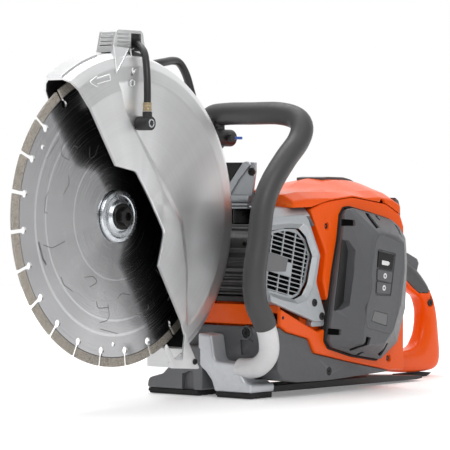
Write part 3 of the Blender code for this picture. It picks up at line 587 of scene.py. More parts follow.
def sintered_finish(name):
    """Diamond grit held in bronze-grey sintered metal."""
    tree, shader = new_look(name)
    where = node(tree, "TexCoord").outputs["Object"]
    grit = node(tree, "TexVoronoi", {"Vector": where, "Scale": 1100.0}).outputs["Distance"]
    cloud = fractal(tree, where, 60.0, 4.0)
    tone = ramp(tree, grit, (0.1, (0.62, 0.58, 0.52)), (0.45, (0.36, 0.33, 0.29)), (0.8, (0.16, 0.15, 0.14)))
    tone = blended(tree, mapped(tree, cloud, 0.0, 0.5), tone, (0.50, 0.45, 0.38, 1.0))
    tree.links.new(tone, shader.inputs["Base Color"])
    tree.links.new(mapped(tree, grit, 0.5, 0.85, 0.0, 0.8), shader.inputs["Roughness"])
    bump = node(tree, "Bump", {"Height": grit, "Distance": 0.12 * MM, "Strength": 1.0})
    tree.links.new(bump.outputs["Normal"], shader.inputs["Normal"])
    shader.inputs["Metallic"].default_value = 0.45


def make_looks():
    turned_finish("guard_silver", (0.75, 0.755, 0.76), 0.37, 1800.0, metallic=0.85)
    # Near-black: painted shade inside the guard and on its rear web.
    finish("guard_shade_black", (0.008, 0.008, 0.008), 0.6, grain=500, relief=0.05)
    # Near-black with almost no gloss: painted shade for hollows and gaps.
    finish("painted_shade_black", (0.003, 0.003, 0.003), 0.85, grain=500, relief=0.05, mottle=0.2, specular=0.05)
    finish("silver_cast", (0.42, 0.44, 0.46), 0.38, 0.6, 800, 0.02, 0.04, 0.06, (0.75, 0.76, 0.78))
    finish("foot_silver", (0.58, 0.60, 0.63), 0.36, 0.45, 700, 0.03, 0.05, 0.07, (0.66, 0.68, 0.70))
    finish("grey_cast", (0.15, 0.153, 0.16), 0.48, 0.35, 700, 0.03, 0.06, 0.07, (0.34, 0.34, 0.35))
    finish("motor_grey", (0.07, 0.07, 0.07), 0.5, 0.3, 700, 0.03, 0.07, 0.06, (0.26, 0.26, 0.26))
    finish("orange", (0.80, 0.090, 0.0015), 0.30, grain=420, relief=0.008, mottle=0.02, spread=0.03,
           wear_and_highlight=(0.90, 0.20, 0.02), coat=0.12, specular=0.16)
    finish(
        "dark_plastic", (0.088, 0.090, 0.096), 0.50, grain=1300, relief=0.035, mottle=0.05,
        wear_and_highlight=(0.16, 0.16, 0.17),
    )
    finish("black_plastic", (0.014, 0.014, 0.015), 0.5, grain=1100, relief=0.03, wear_and_highlight=(0.05, 0.05, 0.05))
    finish(
        "grip_rubber", (0.046, 0.046, 0.047), 0.46, grain=1500, relief=0.03, mottle=0.05,
        wear_and_highlight=(0.10, 0.10, 0.10),
    )
    finish("hose_rubber", (0.018, 0.018, 0.019), 0.38, grain=1200, relief=0.02, wear_and_highlight=(0.06, 0.06, 0.06))
    finish("tread_rubber", (0.011, 0.011, 0.011), 0.75, grain=600, relief=0.08, mottle=0.15)
    finish("bare_tube", (0.66, 0.66, 0.67), 0.46, 0.35, 500, 0.02, 0.05, 0.08, (0.85, 0.85, 0.86))
    finish("zinc", (0.62, 0.65, 0.68), 0.27, 0.95, 400, 0.01, 0.08, 0.08, (0.9, 0.92, 0.94))
    finish("bright_steel", (0.56, 0.56, 0.57), 0.28, 1.0, 500, 0.01, 0.06, 0.07, stretch=(1, 8, 1))
    finish("black_oxide", (0.016, 0.015, 0.015), 0.34, 0.55, 900, 0.02, 0.15, 0.08, (0.16, 0.15, 0.15))
    finish("brass", (0.50, 0.40, 0.26), 0.32, 0.9, 600, 0.01, 0.08, 0.06, (0.8, 0.72, 0.55))
    finish("copper", (0.50, 0.20, 0.09), 0.36, 0.95, 500, 0.08, 0.12, 0.08, stretch=(1, 14, 1))
    finish("circuit", (0.012, 0.10, 0.045), 0.42, grain=300, relief=0.06, mottle=0.2)
    finish("blue", (0.012, 0.11, 0.55), 0.35, grain=700, relief=0.01, wear_and_highlight=(0.1, 0.25, 0.7), coat=0.3)
    finish("screen", (0.004, 0.004, 0.005), 0.09, grain=200, relief=0.001, mottle=0.2, spread=0.03, coat=0.4)
    finish("print", (0.72, 0.72, 0.72), 0.5, grain=900, relief=0.01, mottle=0.04)
    finish("label_grey", (0.15, 0.15, 0.155), 0.42, 0.3, 900, 0.02, 0.05, wear_and_highlight=(0.3, 0.3, 0.3))
    turned_finish("blade_steel", (0.44, 0.44, 0.45), 0.21, 5200.0, ((138, 2.2), (121, 1.6), (74, 1.2)))
    sintered_finish("sintered")


# What an imported node that is shown as it is wears.
INNER_LOOKS = {
    "arbor_shaft": "bright_steel",
    "arbor_bearing_inner": "bright_steel",
    "arbor_bearing_outer": "bright_steel",
    "inner_flange": "zinc",
    "driven_pulley": "grey_cast",
    "drive_pulley": "grey_cast",
    "drive_belt": "hose_rubber",
    "motor_rotor": "bright_steel",
    "motor_stator": "copper",
    "battery_terminal": "copper",
    "control_board": "circuit",
    "board_heat_sink": "silver_cast",
    "handle_isolator": "tread_rubber",
}


def dress_inner_nodes():
    for name, look in INNER_LOOKS.items():
        mesh = frame["nodes"][name].data
        mesh.materials.clear()
        mesh.materials.append(LOOKS[look])
        mesh.polygons.foreach_set("material_index", [0] * len(mesh.polygons))


# ---------------------------------------------------------------- blade and arbor


def polar(radius, angle):
    """X and Z of a point at a radius and an angle from the arbor."""
    return radius * math.cos(math.radians(angle)), ARBOR_Z + radius * math.sin(math.radians(angle))


def gullet(angle):
    """One slot in the blade's edge, with its keyhole, as points going inwards and out again."""
    inner = math.degrees(math.asin(GULLET_HALF / KEYHOLE_R))
    hole = arc(KEYHOLE_AT, 0, KEYHOLE_R, -inner, -360 + inner, 16)
    local = [(CORE_R, -GULLET_HALF), *hole, (CORE_R, GULLET_HALF)]
    c, s = math.cos(math.radians(angle)), math.sin(math.radians(angle))
    return [(x * c - y * s, x * s + y * c + ARBOR_Z) for x, y in local]


# Thin damping cuts in a third of the blade, as (radius, angle), and their widths.
DAMPING_CUTS = [
    ([(136.5, 150.5), (133, 137)], 0.7),
    ([(126, 136), (120.5, 144), (103, 141)], 0.9),
    ([(95.5, 150.5), (89.7, 154.5), (95, 164)], 0.9),
    ([(119.7, 165.6), (122.5, 169.5), (123, 177), (118, 177.5)], 0.9),
    ([(135, 191.5), (133.5, 200.6), (131, 204)], 2.6),
    ([(127.7, 193.8), (115.5, 197.4), (93, 196.9)], 0.9),
    ([(117, 215.4), (119, 220), (113.8, 227.8)], 0.9),
    ([(89, 231), (79.5, 238.6), (82, 246), (93, 240)], 0.9),
    ([(104, 249.8), (111, 252.3), (106.5, 261)], 0.9),
]


def make_blade():
    """The slotted steel core, its diamond segments, the weld lines between them and the cuts' dark floors."""
    outline, segments, welds = [], [], []
    pitch = 360 / SEGMENTS
    margin = math.degrees(GULLET_HALF / CORE_R)
    for i in range(SEGMENTS):
        first, last = GULLET_PHASE + i * pitch + margin, GULLET_PHASE + (i + 1) * pitch - margin
        outline += gullet(GULLET_PHASE + i * pitch)
        outline += arc(0, ARBOR_Z, CORE_R, first, last, 9)[1:-1]
        ring = arc(0, ARBOR_Z, CORE_R - 0.6, first, last, 9)
        top = arc(0, ARBOR_Z, BLADE_R, last, first, 9)
        segments.append(soft_prism(ring + top, "Y", -SEGMENT_HALF, SEGMENT_HALF, 0.35, 0.35, 2))
        seam = arc(0, ARBOR_Z, CORE_R - 1.5, first, last, 9) + arc(0, ARBOR_Z, CORE_R - 0.5, last, first, 9)
        welds.append(prism(seam, "Y", -WELD_HALF, WELD_HALF))
    cuts = [cylinder("Y", 0, ARBOR_Z, BORE_R, -5, 5)]
    fillings = []
    for third in range(3):
        turn = THIRD * third
        cuts.append(cylinder("Y", *polar(PIN_HOLE_AT, PIN_HOLE_PHASE + turn), PIN_HOLE_R, -5, 5, 20))
        for path, width in DAMPING_CUTS:
            line = rounded([polar(r, a + turn) for r, a in path], 9, closed=False)
            cuts.append(prism(ribbon(line, width), "Y", -5, 5))
            fillings.append(prism(ribbon(line, width), "Y", -FILLING_HALF, FILLING_HALF))
    piece("blade_core", prism(outline, "Y", -CORE_HALF, CORE_HALF), "blade_steel", "blade_set", "blade",
          cuts=[merged(*cuts)])
    piece("blade_cut_fillings", merged(*fillings), "motor_grey", "blade_set", slot="black_rubber")
    piece("blade_segments", merged(*segments), "sintered", "blade_set")
    piece("blade_welds", merged(*welds), "black_oxide", "blade_set", slot="blade_steel")


def make_arbor():
    at = (0, ARBOR_Z)
    flange = [(13, -2), (31, -2), (31, -4.6), (29.8, -6), (25.5, -6.4), (24.2, -5.5), (19.5, -5.5),
              (18, -7.6), (16.6, -9), (13, -9)]
    holes = [cylinder("Y", *polar(22, 45 + THIRD * k), 1.5, -8, -4.6, 16) for k in range(3)]
    piece("clamping_flange", revolve(flange, at, 96), "zinc", "blade_set", "outer_flange",
          cuts=[merged(*holes)], bevel=0.4)
    hexagon = [polar(11.3, 30 + 60 * k) for k in range(6)]
    socket = [polar(5.6, 60 * k) for k in range(6)]
    washer = [(0, 14), (5, 14), (5, -9.3), (15.4, -9.3), (15.4, -11), (14.4, -12), (0, -12)]
    piece("arbor_bolt_head", revolve(washer, at), "black_oxide", "blade_set", "arbor_bolt", bevel=0.4,
          joins=[soft_prism(hexagon, "Y", -19, -11.5, 1.2, 0)], cuts=[prism(socket, "Y", -25, -13.5)])


# ---------------------------------------------------------------- guard and water

OPENING = [(-50, 72), (-41, 59), (-3, 52), (23, 17), (46, -18), (42, -34), (35, -58)]
CREASE = [(-79, 148), (-29, 148), (-26, 127), (-3, 94), (40, 35), (74, -7), (84, -60), (84, -150)]
OPENING_LINE = rounded(OPENING, 12, 6, closed=False)
CREASE_LINE = rounded(CREASE, 30, 6, closed=False)
GUARD_STEPS = 150


def reach(line, angle):
    """How far from the arbor a ray at an angle meets a line through points given from the arbor."""
    c, s = math.cos(math.radians(angle)), math.sin(math.radians(angle))
    for (x0, z0), (x1, z1) in zip(line, line[1:]):
        across = (x1 - x0) * s - (z1 - z0) * c
        if abs(across) < 1e-9:
            continue
        t = (z0 * c - x0 * s) / across
        r = (x0 + (x1 - x0) * t) * c + (z0 + (z1 - z0) * t) * s
        if -1e-6 <= t <= 1.000001 and r > 0:
            return r
    return math.hypot(*line[0]) if angle > 0 else math.hypot(*line[-1])


def guard_edges(angle):
    """Radii of the left wall's opening and of the foot of its raised band, and the foot's y."""
    edge = reach(OPENING_LINE, angle)
    band = min(max(reach(CREASE_LINE, angle), edge + 12), 148)
    return edge, band, -29.5 - max(0, band - 128) * 0.17


TAPER, TAPER_START, TAPER_SPAN = 0.19, 102.0, 24.0


def taper(angle):
    """How much of its full width the guard's right half keeps; it narrows towards the mouth."""
    return 1 - TAPER * smooth_step((angle - TAPER_START) / TAPER_SPAN)


def guard_inside(angle):
    """The inside of the guard's wall as (radius, y), from the right edge round to the left edge."""
    edge, band, foot = guard_edges(angle)
    kept = taper(angle)
    return [
        (42, 30 * kept),
        (157, 30 * kept),
        (172, 27.5 * kept),
        (182.5, 20.5 * kept),
        (GUARD_INNER_R, 11),
        (GUARD_INNER_R, -11),
        (182.5, -20.5),
        (172, -27.5),
        (157, -30),
        (band + 10, foot + GUARD_WALL),
        (band - 1, GUARD_FACE + GUARD_WALL),
        (edge, GUARD_FACE + GUARD_WALL),
    ]


def guard_section(angle):
    """The guard's closed wall section as (radius, y): the outside from left to right, then the inside."""
    edge, band, foot = guard_edges(angle)
    kept = taper(angle)
    outer = [
        (edge, GUARD_FACE, 2.0),
        (band, GUARD_FACE, 7),
        (band + 11, foot, 9),
        (158, -GUARD_HALF, 16),
        (174, -30, 9),
        (185, -22, 6),
        (GUARD_R, -12, 4),
        (GUARD_R, 12, 4),
        (185, 22 * kept, 4),
        (174, 30 * kept, 9),
        (158, GUARD_HALF * kept, 16),
        (42, GUARD_HALF * kept, 1),
    ]
    inside = guard_inside(angle)
    corners = [(r, y) for r, y, _ in outer] + inside
    return rounded(corners, [radius for _, _, radius in outer] + [0.6] * len(inside), 3)


def guard_loft(section, low=GUARD_LOW, high=GUARD_HIGH, steps=GUARD_STEPS):
    loops = []
    for k in range(steps + 1):
        angle = low + (high - low) * k / steps
        loops.append([(polar(r, angle)[0], y, polar(r, angle)[1]) for r, y in section(angle)])
    return loft(loops)


def shade_lining_section(angle):
    """A thin near-black sheet on the inside of the guard: painted shade."""
    near, far = [], []
    for r, y in guard_inside(angle):
        for depth, found in ((0.1, near), (1.0, far)):
            found.append((min(r, GUARD_INNER_R - depth), math.copysign(abs(y) - depth, y)))
    return near + far[::-1]


def rim_plate_section(_angle):
    """The wear plate on the rim behind the mouth; its section is the same all the way."""
    low, high, half = GUARD_R - 0.5, GUARD_R + 2.6, 12.5
    return [(low, -half), (low, half), (high, half), (high, -half)]


# The outlined arrow that shows which way the blade turns.
ARROW = [(-84, 373), (-71, 380.5), (-72, 377.3), (-50, 383), (-48, 376.5), (-70.5, 371.5), (-70, 368)]


def make_guard():
    """The guard's shell with a thin sheet of painted shade inside it, the plate on its rim, the raised arrow
    and a boss.
    """
    piece("guard_body", guard_loft(guard_section), "guard_silver", "guard", "guard_shell",
          joins=[revolve([(33.6, 29.5), (47, 29.5), (47, 33.2), (33.6, 33.2)], (0, ARBOR_Z))],
          bevel=0.5, angle=55, clamp=True)
    # A near-black sheet of painted shade lines the inside of the guard.
    shade_lining = guard_loft(shade_lining_section, GUARD_LOW + 0.4, GUARD_HIGH - 0.4)
    piece("guard_shade_lining", shade_lining, "guard_shade_black", "guard")
    piece("guard_rim_plate", guard_loft(rim_plate_section, 104, GUARD_HIGH, 24), "guard_silver", "guard",
          bevel=0.9)
    arrow = rounded(ARROW, 1.2, 3)
    piece("guard_arrow", raised_line(arrow, GUARD_FACE, 0.75), "guard_silver", "guard")
    boss = [(2.6, -34), (4.4, -34), (4.4, -35.6), (3.9, -36.1), (3.1, -36.1), (2.6, -35.6)]
    piece("guard_boss", revolve(boss, (-11, 374), 40), "guard_silver", "guard", bevel=0.2)
    make_guard_grip()
    make_guard_tail()


def raised_line(points, y, radius):
    """A bead along a closed line on a wall that faces -Y."""
    count = len(points)
    loops = []
    for i, here in enumerate(points):
        before, after = Vector(points[i - 1]), Vector(points[(i + 1) % count])
        along = (after - before).normalized()
        normal = Vector((-along.y, along.x))
        loop = []
        for k in range(8):
            t = math.pi * k / 7
            spot = Vector(here) + normal * radius * math.cos(t)
            loop.append((spot.x, y + 0.3 - (0.3 + radius * 0.8) * math.sin(t), spot.y))
        loops.append(loop)
    return loft(loops, ring=True)


def make_guard_grip():
    """The hollow lifting tab on the guard's rim, with the webs that flare down the left wall."""
    front, rear, base, top = -15, 33, ARBOR_Z + GUARD_R + 0.3, GUARD_TOP
    sides = [(front - 6, base), (rear + 5, base), (rear, top - 3), (rear - 4, top), (front + 4, top),
             (front, top - 3)]
    cavity = [(front + 3, base + 2.5), (rear - 2.5, base + 2.5), (rear - 3, top - 4), (front + 5, top - 4)]
    window = [(12, base + 2.5), (rear - 3.5, base + 2.5), (rear - 3.5, top - 4), (12, top - 4)]
    heights = (417.5, 422, 426.5, 431)
    grooves = [box(front - 8, front + 0.9, -9.5, 9.5, z, z + 1.6) for z in heights]
    grooves += [box(front + 3, 9, -14, -12.3, z, z + 1.2) for z in heights]
    piece("guard_grip_tab", prism(sides, "Y", -13, 13), "guard_silver", "guard", "guard_grip",
          cuts=[prism(cavity, "Y", -10.4, 10.4), prism(window, "Y", -15, 15),
                cylinder("X", 3, TEE_Z, 5.6, rear - 5, rear + 8, 24), merged(*grooves)], bevel=0.8, steps=3)
    for name, corners in (
        ("front", ((-20, -14, 417), (6, -14, 415.5), (-37, -33.8, 385.5))),
        ("rear", ((9, -14, 414), (31.5, -14, 408), (-9, -34.2, 385))),
    ):
        make_web(name, [Vector(c) for c in corners])
    # A near-black sheet at the back of the tab's hollow: painted shade.
    inside = box(front + 5, rear - 3.5, 8.7, 10.3, base + 3, top - 5)
    piece("guard_grip_shade_lining", inside, "painted_shade_black", "guard")


def make_web(name, corners):
    """A triangular web with a rib along each of its two long edges."""
    left, right, foot = corners
    back = Vector((0, 5, -7))
    web = wrapped([left, right, foot, left + back, right + back, foot + back])
    # The rear web is the same silver casting, coloured near-black as painted shade.
    look = "guard_silver" if name == "front" else "guard_shade_black"
    piece(f"guard_web_{name}", web, look, "guard", slot="silver_cast")
    for side, head in (("left", left), ("right", right)):
        rib = sweep([head, head.lerp(foot, 0.5) + Vector((0, -0.5, 0)), foot], 1.0, 12, 0.8)
        piece(f"guard_rib_{name}_{side}", rib, "guard_silver", "guard")


def make_guard_tail():
    """The lower end piece that carries the guard's walls round the blade's edge, screwed to both walls."""
    foot = [polar(148, GUARD_LOW - 0.2), polar(212, GUARD_LOW - 0.2), (107, 38), (64, 41), (48, 64), (58, 82)]
    notch = [(40, 90), (70, 110), (84, 80), (79.5, 50.5), (65, 52.5), (51, 71)]
    piece("guard_tail_piece", prism(foot, "Y", -34, 33), "guard_silver", "guard", "guard_tail",
          cuts=[cylinder("Y", 0, ARBOR_Z, 182, -30.5, 30.5, 144), prism(notch, "Y", -40, -29),
                box(40, 91, -27, 40, 30, 100)], bevel=1.0, steps=3)
    screw("guard_tail_screw", "Y", (101, 47), -34.0, -1, 3.6, "guard")


STAR_POINTS, STAR_OUTER, STAR_INNER = 6, 0.5, 0.34


def screw(name, axis, at, face, out, radius, body="machine", height=1.4):
    """A round-headed screw with a star recess; out is the side of the face that its head stands on."""
    top = face + out * height
    low, high = sorted((face - out, top))
    edges = (0.5, 0) if out < 0 else (0, 0.5)
    head = soft_prism(circle(*at, radius, 40), axis, low, high, *edges, 3)
    star = []
    for k in range(2 * STAR_POINTS):
        r = radius * (STAR_OUTER if k % 2 else STAR_INNER)
        turn = math.pi * k / STAR_POINTS
        star.append((at[0] + r * math.cos(turn), at[1] + r * math.sin(turn)))
    recess = prism(star, axis, *sorted((top - out * 0.9, top + out)))
    piece(name, head, "black_oxide", body, cuts=[recess])


SPRAY_R, SUPPLY_R = 4.2, 5.0
SPRAY_ROUTE = [
    (21, 9.8, 421), (20.8, 14, 420.8), (15, 30, 411), (8, 40, 392), (4.5, 44.3, 367), (4, 44.5, 342.4),
]
SUPPLY_ROUTE = [
    (28.8, 3, 421), (42, 4, 421), (68, 25, 406), (96, 34, 401), (124, 37, 404), (150, 42, 407),
    (164, 43, 404), (176, 43, 390), (185, 43, 370), (192, 42, 352), (201, 37, 336), (212.4, 33, 331),
]


def make_water():
    """The tee in the tab, a spray side on each wall, and the hose that hangs from the guard to the valve."""
    tee = soft_prism(circle(TEE_X, TEE_Z, 5.2), "Y", -8, 8, 0.8, 0.8)
    outlet = cylinder("X", 3, TEE_Z, 3.6, 20, 28.2, 24)
    piece("hose_tee_fitting", tee, "black_plastic", "guard", "hose_tee", joins=[outlet])
    for name, side, seat in (("left", -1, 31.2), ("right", 1, 33.4)):
        make_spray_side(name, side, seat)
    line = sweep(smooth_path(SUPPLY_ROUTE, 4), SUPPLY_R, 20)
    hose = piece("supply_line", line, "hose_rubber", None, "supply_hose")
    ends = [(Vector(p) + SHIFT) * MM for p in (SUPPLY_ROUTE[-1], SUPPLY_ROUTE[1])]
    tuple(ends[0])
    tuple(ends[1])
    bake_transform(hose)


def make_spray_side(name, side, seat):
    """The elbow screwed to one wall of the guard, its hose from the tee, and the hose's crimped end."""
    face = side * ELBOW_FACE
    low, high = sorted((side * seat, face))
    stub = soft_prism(circle(ELBOW_X, ELBOW_Z, 8.2), "Y", low, high, 1.2, 1.2)
    neck = cylinder("Z", ELBOW_X, side * NECK_Y, 5.6, ELBOW_Z, 341.5)
    piece(f"spray_elbow_{name}_body", stub, "black_plastic", "guard", f"spray_elbow_{name}",
          joins=[neck], bevel=0.5)
    ring = [
        (3.2, face - side * 0.6), (5.0, face - side * 0.6), (5.0, face + side * 0.2),
        (3.2, face + side * 0.2),
    ]
    piece(f"spray_screw_ring_{name}", revolve(ring, (ELBOW_X, ELBOW_Z), 40), "zinc", "guard")
    line = [(x, side * y, z) for x, y, z in SPRAY_ROUTE]
    hose = sweep(smooth_path(line, 3.5), SPRAY_R, 20)
    piece(f"spray_line_{name}", hose, "hose_rubber", "guard", f"spray_hose_{name}")
    sleeve = [
        (4.25, 342), (5.3, 342), (5.3, 344.5), (4.9, 345), (4.9, 348), (5.3, 348.5), (5.3, 352),
        (4.25, 352),
    ]
    piece(f"spray_crimp_{name}", revolve(sleeve, (ELBOW_X, side * NECK_Y), 32, "Z"), "brass", "guard",
          bevel=0.2)


# ---------------------------------------------------------------- motor and belt drive


def make_drive():
    """The finned motor case, its cradle and fan, the arm, and the belt cover on the far side."""
    at = (MOTOR_X, MOTOR_Z)
    fins = []
    step = 360 / MOTOR_FINS
    for i in range(MOTOR_FINS):
        middle = 360 * i / MOTOR_FINS
        fins += arc(*at, MOTOR_R + 3, middle - step * 0.18, middle + step * 0.18, 2)
        fins += arc(*at, MOTOR_R, middle + step * 0.28, middle + step * 0.72, 3)
    face = [(201, 193), (199.5, 190), (199.5, 158), (204, 154)]
    ribs = []
    for z in (147, 139, 131, 124):
        ribs += [(204, z + 2.2), (199, z + 1.2), (199, z - 1.2), (204, z - 2.2)]
    block = face + ribs + [(204, 121.4), (222, 121.4), (222, 198), (206, 197)]
    piece("motor_case", prism(fins, "Y", -62, 36), "motor_grey", "machine", "motor_housing",
          joins=[prism(block, "Y", -36, 22)],
          cuts=[cylinder("Y", *at, MOTOR_R - 2.5, -70, 31), cylinder("Y", *at, 9, 25, 40)], bevel=0.6)
    for i, z in enumerate((185, 165)):
        screw(f"motor_case_screw_{i}", "X", (-30, z), 199.5, -1, 3.0)
    refined("motor_cradle", "black_plastic", 0.8)
    refined("cutting_arm", "silver_cast", 0.8)
    refined("cooling_fan", "black_plastic", 0.3)
    cover = soft_prism(around_pulleys(40, 42), "Y", 46.3, 70, 0, 5, 6)
    spots = ((-28, 238), (-26, 200), (100, 226), (100, 176), (176, 214), (254, 193), (256, 136))
    bosses = merged(*[soft_prism(circle(x, z, 6.5), "Y", 64, 71, 0, 1.2) for x, z in spots])
    web = rounded([(34, 224), (170, 198), (196, 176), (170, 156), (34, 190)], 10)
    piece("belt_cover_shell", cover, "silver_cast", "machine", "belt_cover", joins=[bosses],
          cuts=[prism(around_pulleys(37, 39), "Y", 44, 66.5), prism(web, "Y", 69, 73)], bevel=0.6)
    for i, (x, z) in enumerate(spots):
        screw(f"belt_cover_screw_{i}", "Y", (x, z), 71.0, 1, 3.8, height=1.0)


# ---------------------------------------------------------------- body

BATTERY_BASE = [
    (270, 66), (276, 104), (286, 152), (296, 189), (301, 220), (309, 229), (322, 230), (365, 222),
    (403, 214), (418, 206), (432, 190), (436, 160), (432, 100), (414, 56), (378, 36), (325, 44), (278, 56),
]
BATTERY_FACE = [
    (303, 66), (305, 82), (311, 103), (316, 125), (318, 152), (325, 192), (334, 198), (346, 198),
    (362, 196), (380, 191), (391, 184), (392, 150), (384, 107), (369, 77), (350, 60), (334, 59), (312, 60),
]
SPLIT_LOW = [(411, 23.8), (330, 37), (254, 52), (243, 70), (200, 80), (BODY_FRONT, 88)]
SKIN = [
    (186, 88), (186, 109), (228, 91), (260, 78), (284, 82), (281, 108), (270, 140), (276, 174), (252, 214),
    (246, 227), (268, 234), (284, 236.6), (330, 241), (400, 232), (430, 218.5), (438, 203), (441, 150),
    (441, 80), (443, 21.6), (411, 22.6), (330, 37), (254, 52), (243, 70), (200, 80),
]
SKIN_CORNERS = [3.2, 4, 6, 10, 10, 14, 16, 12, 6, 4, 8, 8, 20, 20, 8, 10, 20, 20, 6, 20, 20, 8, 8, 8]
# Countersunk screw places in the housing's left wall, and the one in the top cover.
WALL_HOLES = [(278, 206), (405, 38)]
COVER_HOLE = (391, 233.5)


def make_left_housing():
    """The orange shell round the battery and the air inlet, with its front strip and screws."""
    skin = rounded(SKIN, SKIN_CORNERS)
    strip = [(186, 88.6), (190, 87), (190, 111), (186, 112.5)]
    front_room = box(150, BAY_FRONT, -82, 5, 0, 300)
    room = [(287, 84), (287, 234), (330, 238), (398, 229.5), (427, 217), (435, 202), (438.2, 150),
            (438.2, 80), (440, 24.4), (411, 25.8), (332, 40)]
    hollow = prism(room, "Y", BODY_LEFT + 3.4, 5)
    corner = prism([(432, -100), (450, -100), (450, -82)], "Z", 0, 260)
    seats = [countersink(x, z) for x, z in WALL_HOLES]
    shell = soft_prism(skin, "Y", BODY_LEFT, -1, 2.8, 0, 5)
    bay = prism(rounded(BATTERY_BASE, 5), "Y", -101, -86)
    piece("left_housing_shell", shell, "orange", "machine", "left_housing",
          cuts=[hollow, front_room, bay, corner, *seats], bevel=0.6)
    piece("front_strip", soft_prism(strip, "Y", BODY_LEFT + 3, 82.6, 1.5, 1.5), "orange", bevel=1.2,
          steps=3)
    seal = rounded(inset(BATTERY_BASE, 0.1), 5)
    piece("battery_seal", prism(seal, "Y", -97.2, -90), "tread_rubber",
          cuts=[prism(rounded(inset(BATTERY_BASE, 1.9), 4), "Y", -99, -85)], bevel=0.3)
    for i, (x, z) in enumerate(WALL_HOLES):
        screw(f"housing_screw_{i}", "Y", (x, z), -93.4, -1, 3.4, height=0.8)
    screw("strip_screw", "Y", (191, 97.5), BODY_LEFT, -1, 2.0, height=0.7)
    floor = [(236, 74), (283, 74), (283, 84), (282, 110), (272, 141), (279, 176), (257, 216), (238, 222),
             (252, 190), (262, 171), (254, 139), (268, 100), (262, 88), (236, 96)]
    piece("inlet_recess", prism(floor, "Y", -86.0, -82.5), "orange", bevel=0.3)


def countersink(x, z):
    """A conical screw seat in the left wall."""
    cone = [(0, -98), (5.6, -98), (5.6, -96.2), (4.4, -95), (4.4, -93.4), (0, -93.4)]
    return revolve(cone, (x, z), 40)


def make_right_housing():
    """The orange shell on the far side, with its air slots."""
    corners = [(BAY_FRONT, 47), (BAY_FRONT, 236), (330, 241), (400, 232), (430, 218.5), (438, 203),
               (441, 150), (441, 80), (443, 21.6), (411, 22.6), (330, 37)]
    outline = rounded(corners, [3.8, 3.8, 20, 20, 8, 10, 20, 20, 6, 20, 20])
    panel = [(BODY_FRONT, 88), (BODY_FRONT, 113), (283.8, 118), (283.8, 46), (254, 52), (243, 70), (200, 80)]
    corner = prism([(432, 90), (450, 90), (450, 72)], "Z", 0, 260)
    vents = [prism(rounded(slot_outline(330 + 13 * i, 150, 7, 62, -16), 3), "Y", 80, 90) for i in range(6)]
    piece("right_housing_shell", soft_prism(outline, "Y", 1, BODY_RIGHT, 0, 3.5, 5), "orange",
          "machine", "right_housing",
          cuts=[prism(inset(outline, 3), "Y", -4, 83), corner, merged(*vents)], bevel=0.7)
    piece("right_front_panel", prism(panel, "Y", 83, BODY_RIGHT), "orange", bevel=0.9, steps=3)
    # A black sheet behind the air slots: painted shade for the dark inside.
    piece("vent_shade_backing", box(322, 412, 80.5, 81.5, 112, 190), "black_plastic", bevel=0.3)
    for i, (x, z) in enumerate(((296, 60), (296, 224), (426, 46), (424, 206))):
        screw(f"right_housing_screw_{i}", "Y", (x, z), 86.0, 1, 4.0, height=0.9)


def slot_outline(x, z, width, height, lean):
    """A leaning slot's four corners; lean is in degrees."""
    shift = height / 2 * math.tan(math.radians(lean))
    return [(x - width / 2 - shift, z - height / 2), (x + width / 2 - shift, z - height / 2),
            (x + width / 2 + shift, z + height / 2), (x - width / 2 + shift, z + height / 2)]


def level(stops, x):
    """Height at x on a line through (x, z) stops."""
    for (x0, z0), (x1, z1) in zip(stops, stops[1:]):
        if x <= x1:
            return z0 + (z1 - z0) * (x - x0) / (x1 - x0)
    return stops[-1][1]


ROOF = [(212, 247), (262, 249), (305, 251.5), (330, 259.5), (350, 264), (362, 265.2), (395, 264.5),
        (412, 261.5), (427, 254), (441, 244)]
SHOULDER = [(212, 245), (237, 248), (274, 248.5), (325, 248), (387, 249), (413, 246), (441, 234)]
SKIRT = [(212, 229), (246, 229.6), (268, 234.6), (284, 237.6), (330, 241.6), (400, 232.6), (430, 219.1),
         (440, 214.6)]
ROOF_LINE = rounded(ROOF, 30, 6, closed=False)
SHOULDER_LINE = rounded(SHOULDER, 30, 6, closed=False)


def cover_section(x, shell=0.0):
    """Closed section of the top cover across the machine; shell moves it inwards."""
    low = level(SKIRT, x) - (5 if shell > 1 else 0)
    high = level(ROOF_LINE, x) - shell
    left, right = BODY_LEFT + shell, BODY_RIGHT - shell
    shoulder = level(SHOULDER_LINE, x) - shell
    side = max(shoulder - 9, level(SKIRT, x) + 1.5 - shell)
    lift = high - shoulder
    corners = [(left, low), (left, side), (left + 16, shoulder), (-44, shoulder + lift * 0.78), (-8, high),
               (24, shoulder + lift * 0.7), (right - 16, shoulder), (right, side), (right, low)]
    return [(x, y, z) for y, z in rounded(corners, [0.4, 5, 6, 20, 20, 20, 6, 5, 0.4], 5)]


def make_top_cover():
    """The crowned cover and the dark strip along it."""
    stations = [(212, 0.99), (212.8, 0.8), (214.5, 0)]
    stations += [(x, 0) for x in range(218, 427, 4)]
    stations += [(428.3, 0), (429.5, 0.8), (430, 0.99)]
    inside = [215, 246, 268, 284, 308, 330, 345, 370, 400, 426]
    skin = loft([cover_section(x, shrink) for x, shrink in stations])
    piece("top_cover_shell", skin, "orange", "machine", "top_cover",
          cuts=[loft([cover_section(x, 3.0) for x in inside]), box(200, 269, -14, 100, 215, 275),
                box(200, 245, -38, 100, 215, 275), countersunk_top()], bevel=0.5, angle=50)
    spine = [(x, level(ROOF_LINE, x)) for x in range(352, 426, 3)]
    trim = [(x, z - 3) for x, z in spine] + [(x, z + 0.9) for x, z in reversed(spine)]
    piece("top_trim_strip", prism(trim, "Y", -32, 10), "dark_plastic", "machine", "top_trim",
          bevel=0.7, steps=3)
    screw("cover_screw", "Y", COVER_HOLE, -90.0, -1, 3.2, height=0.6)


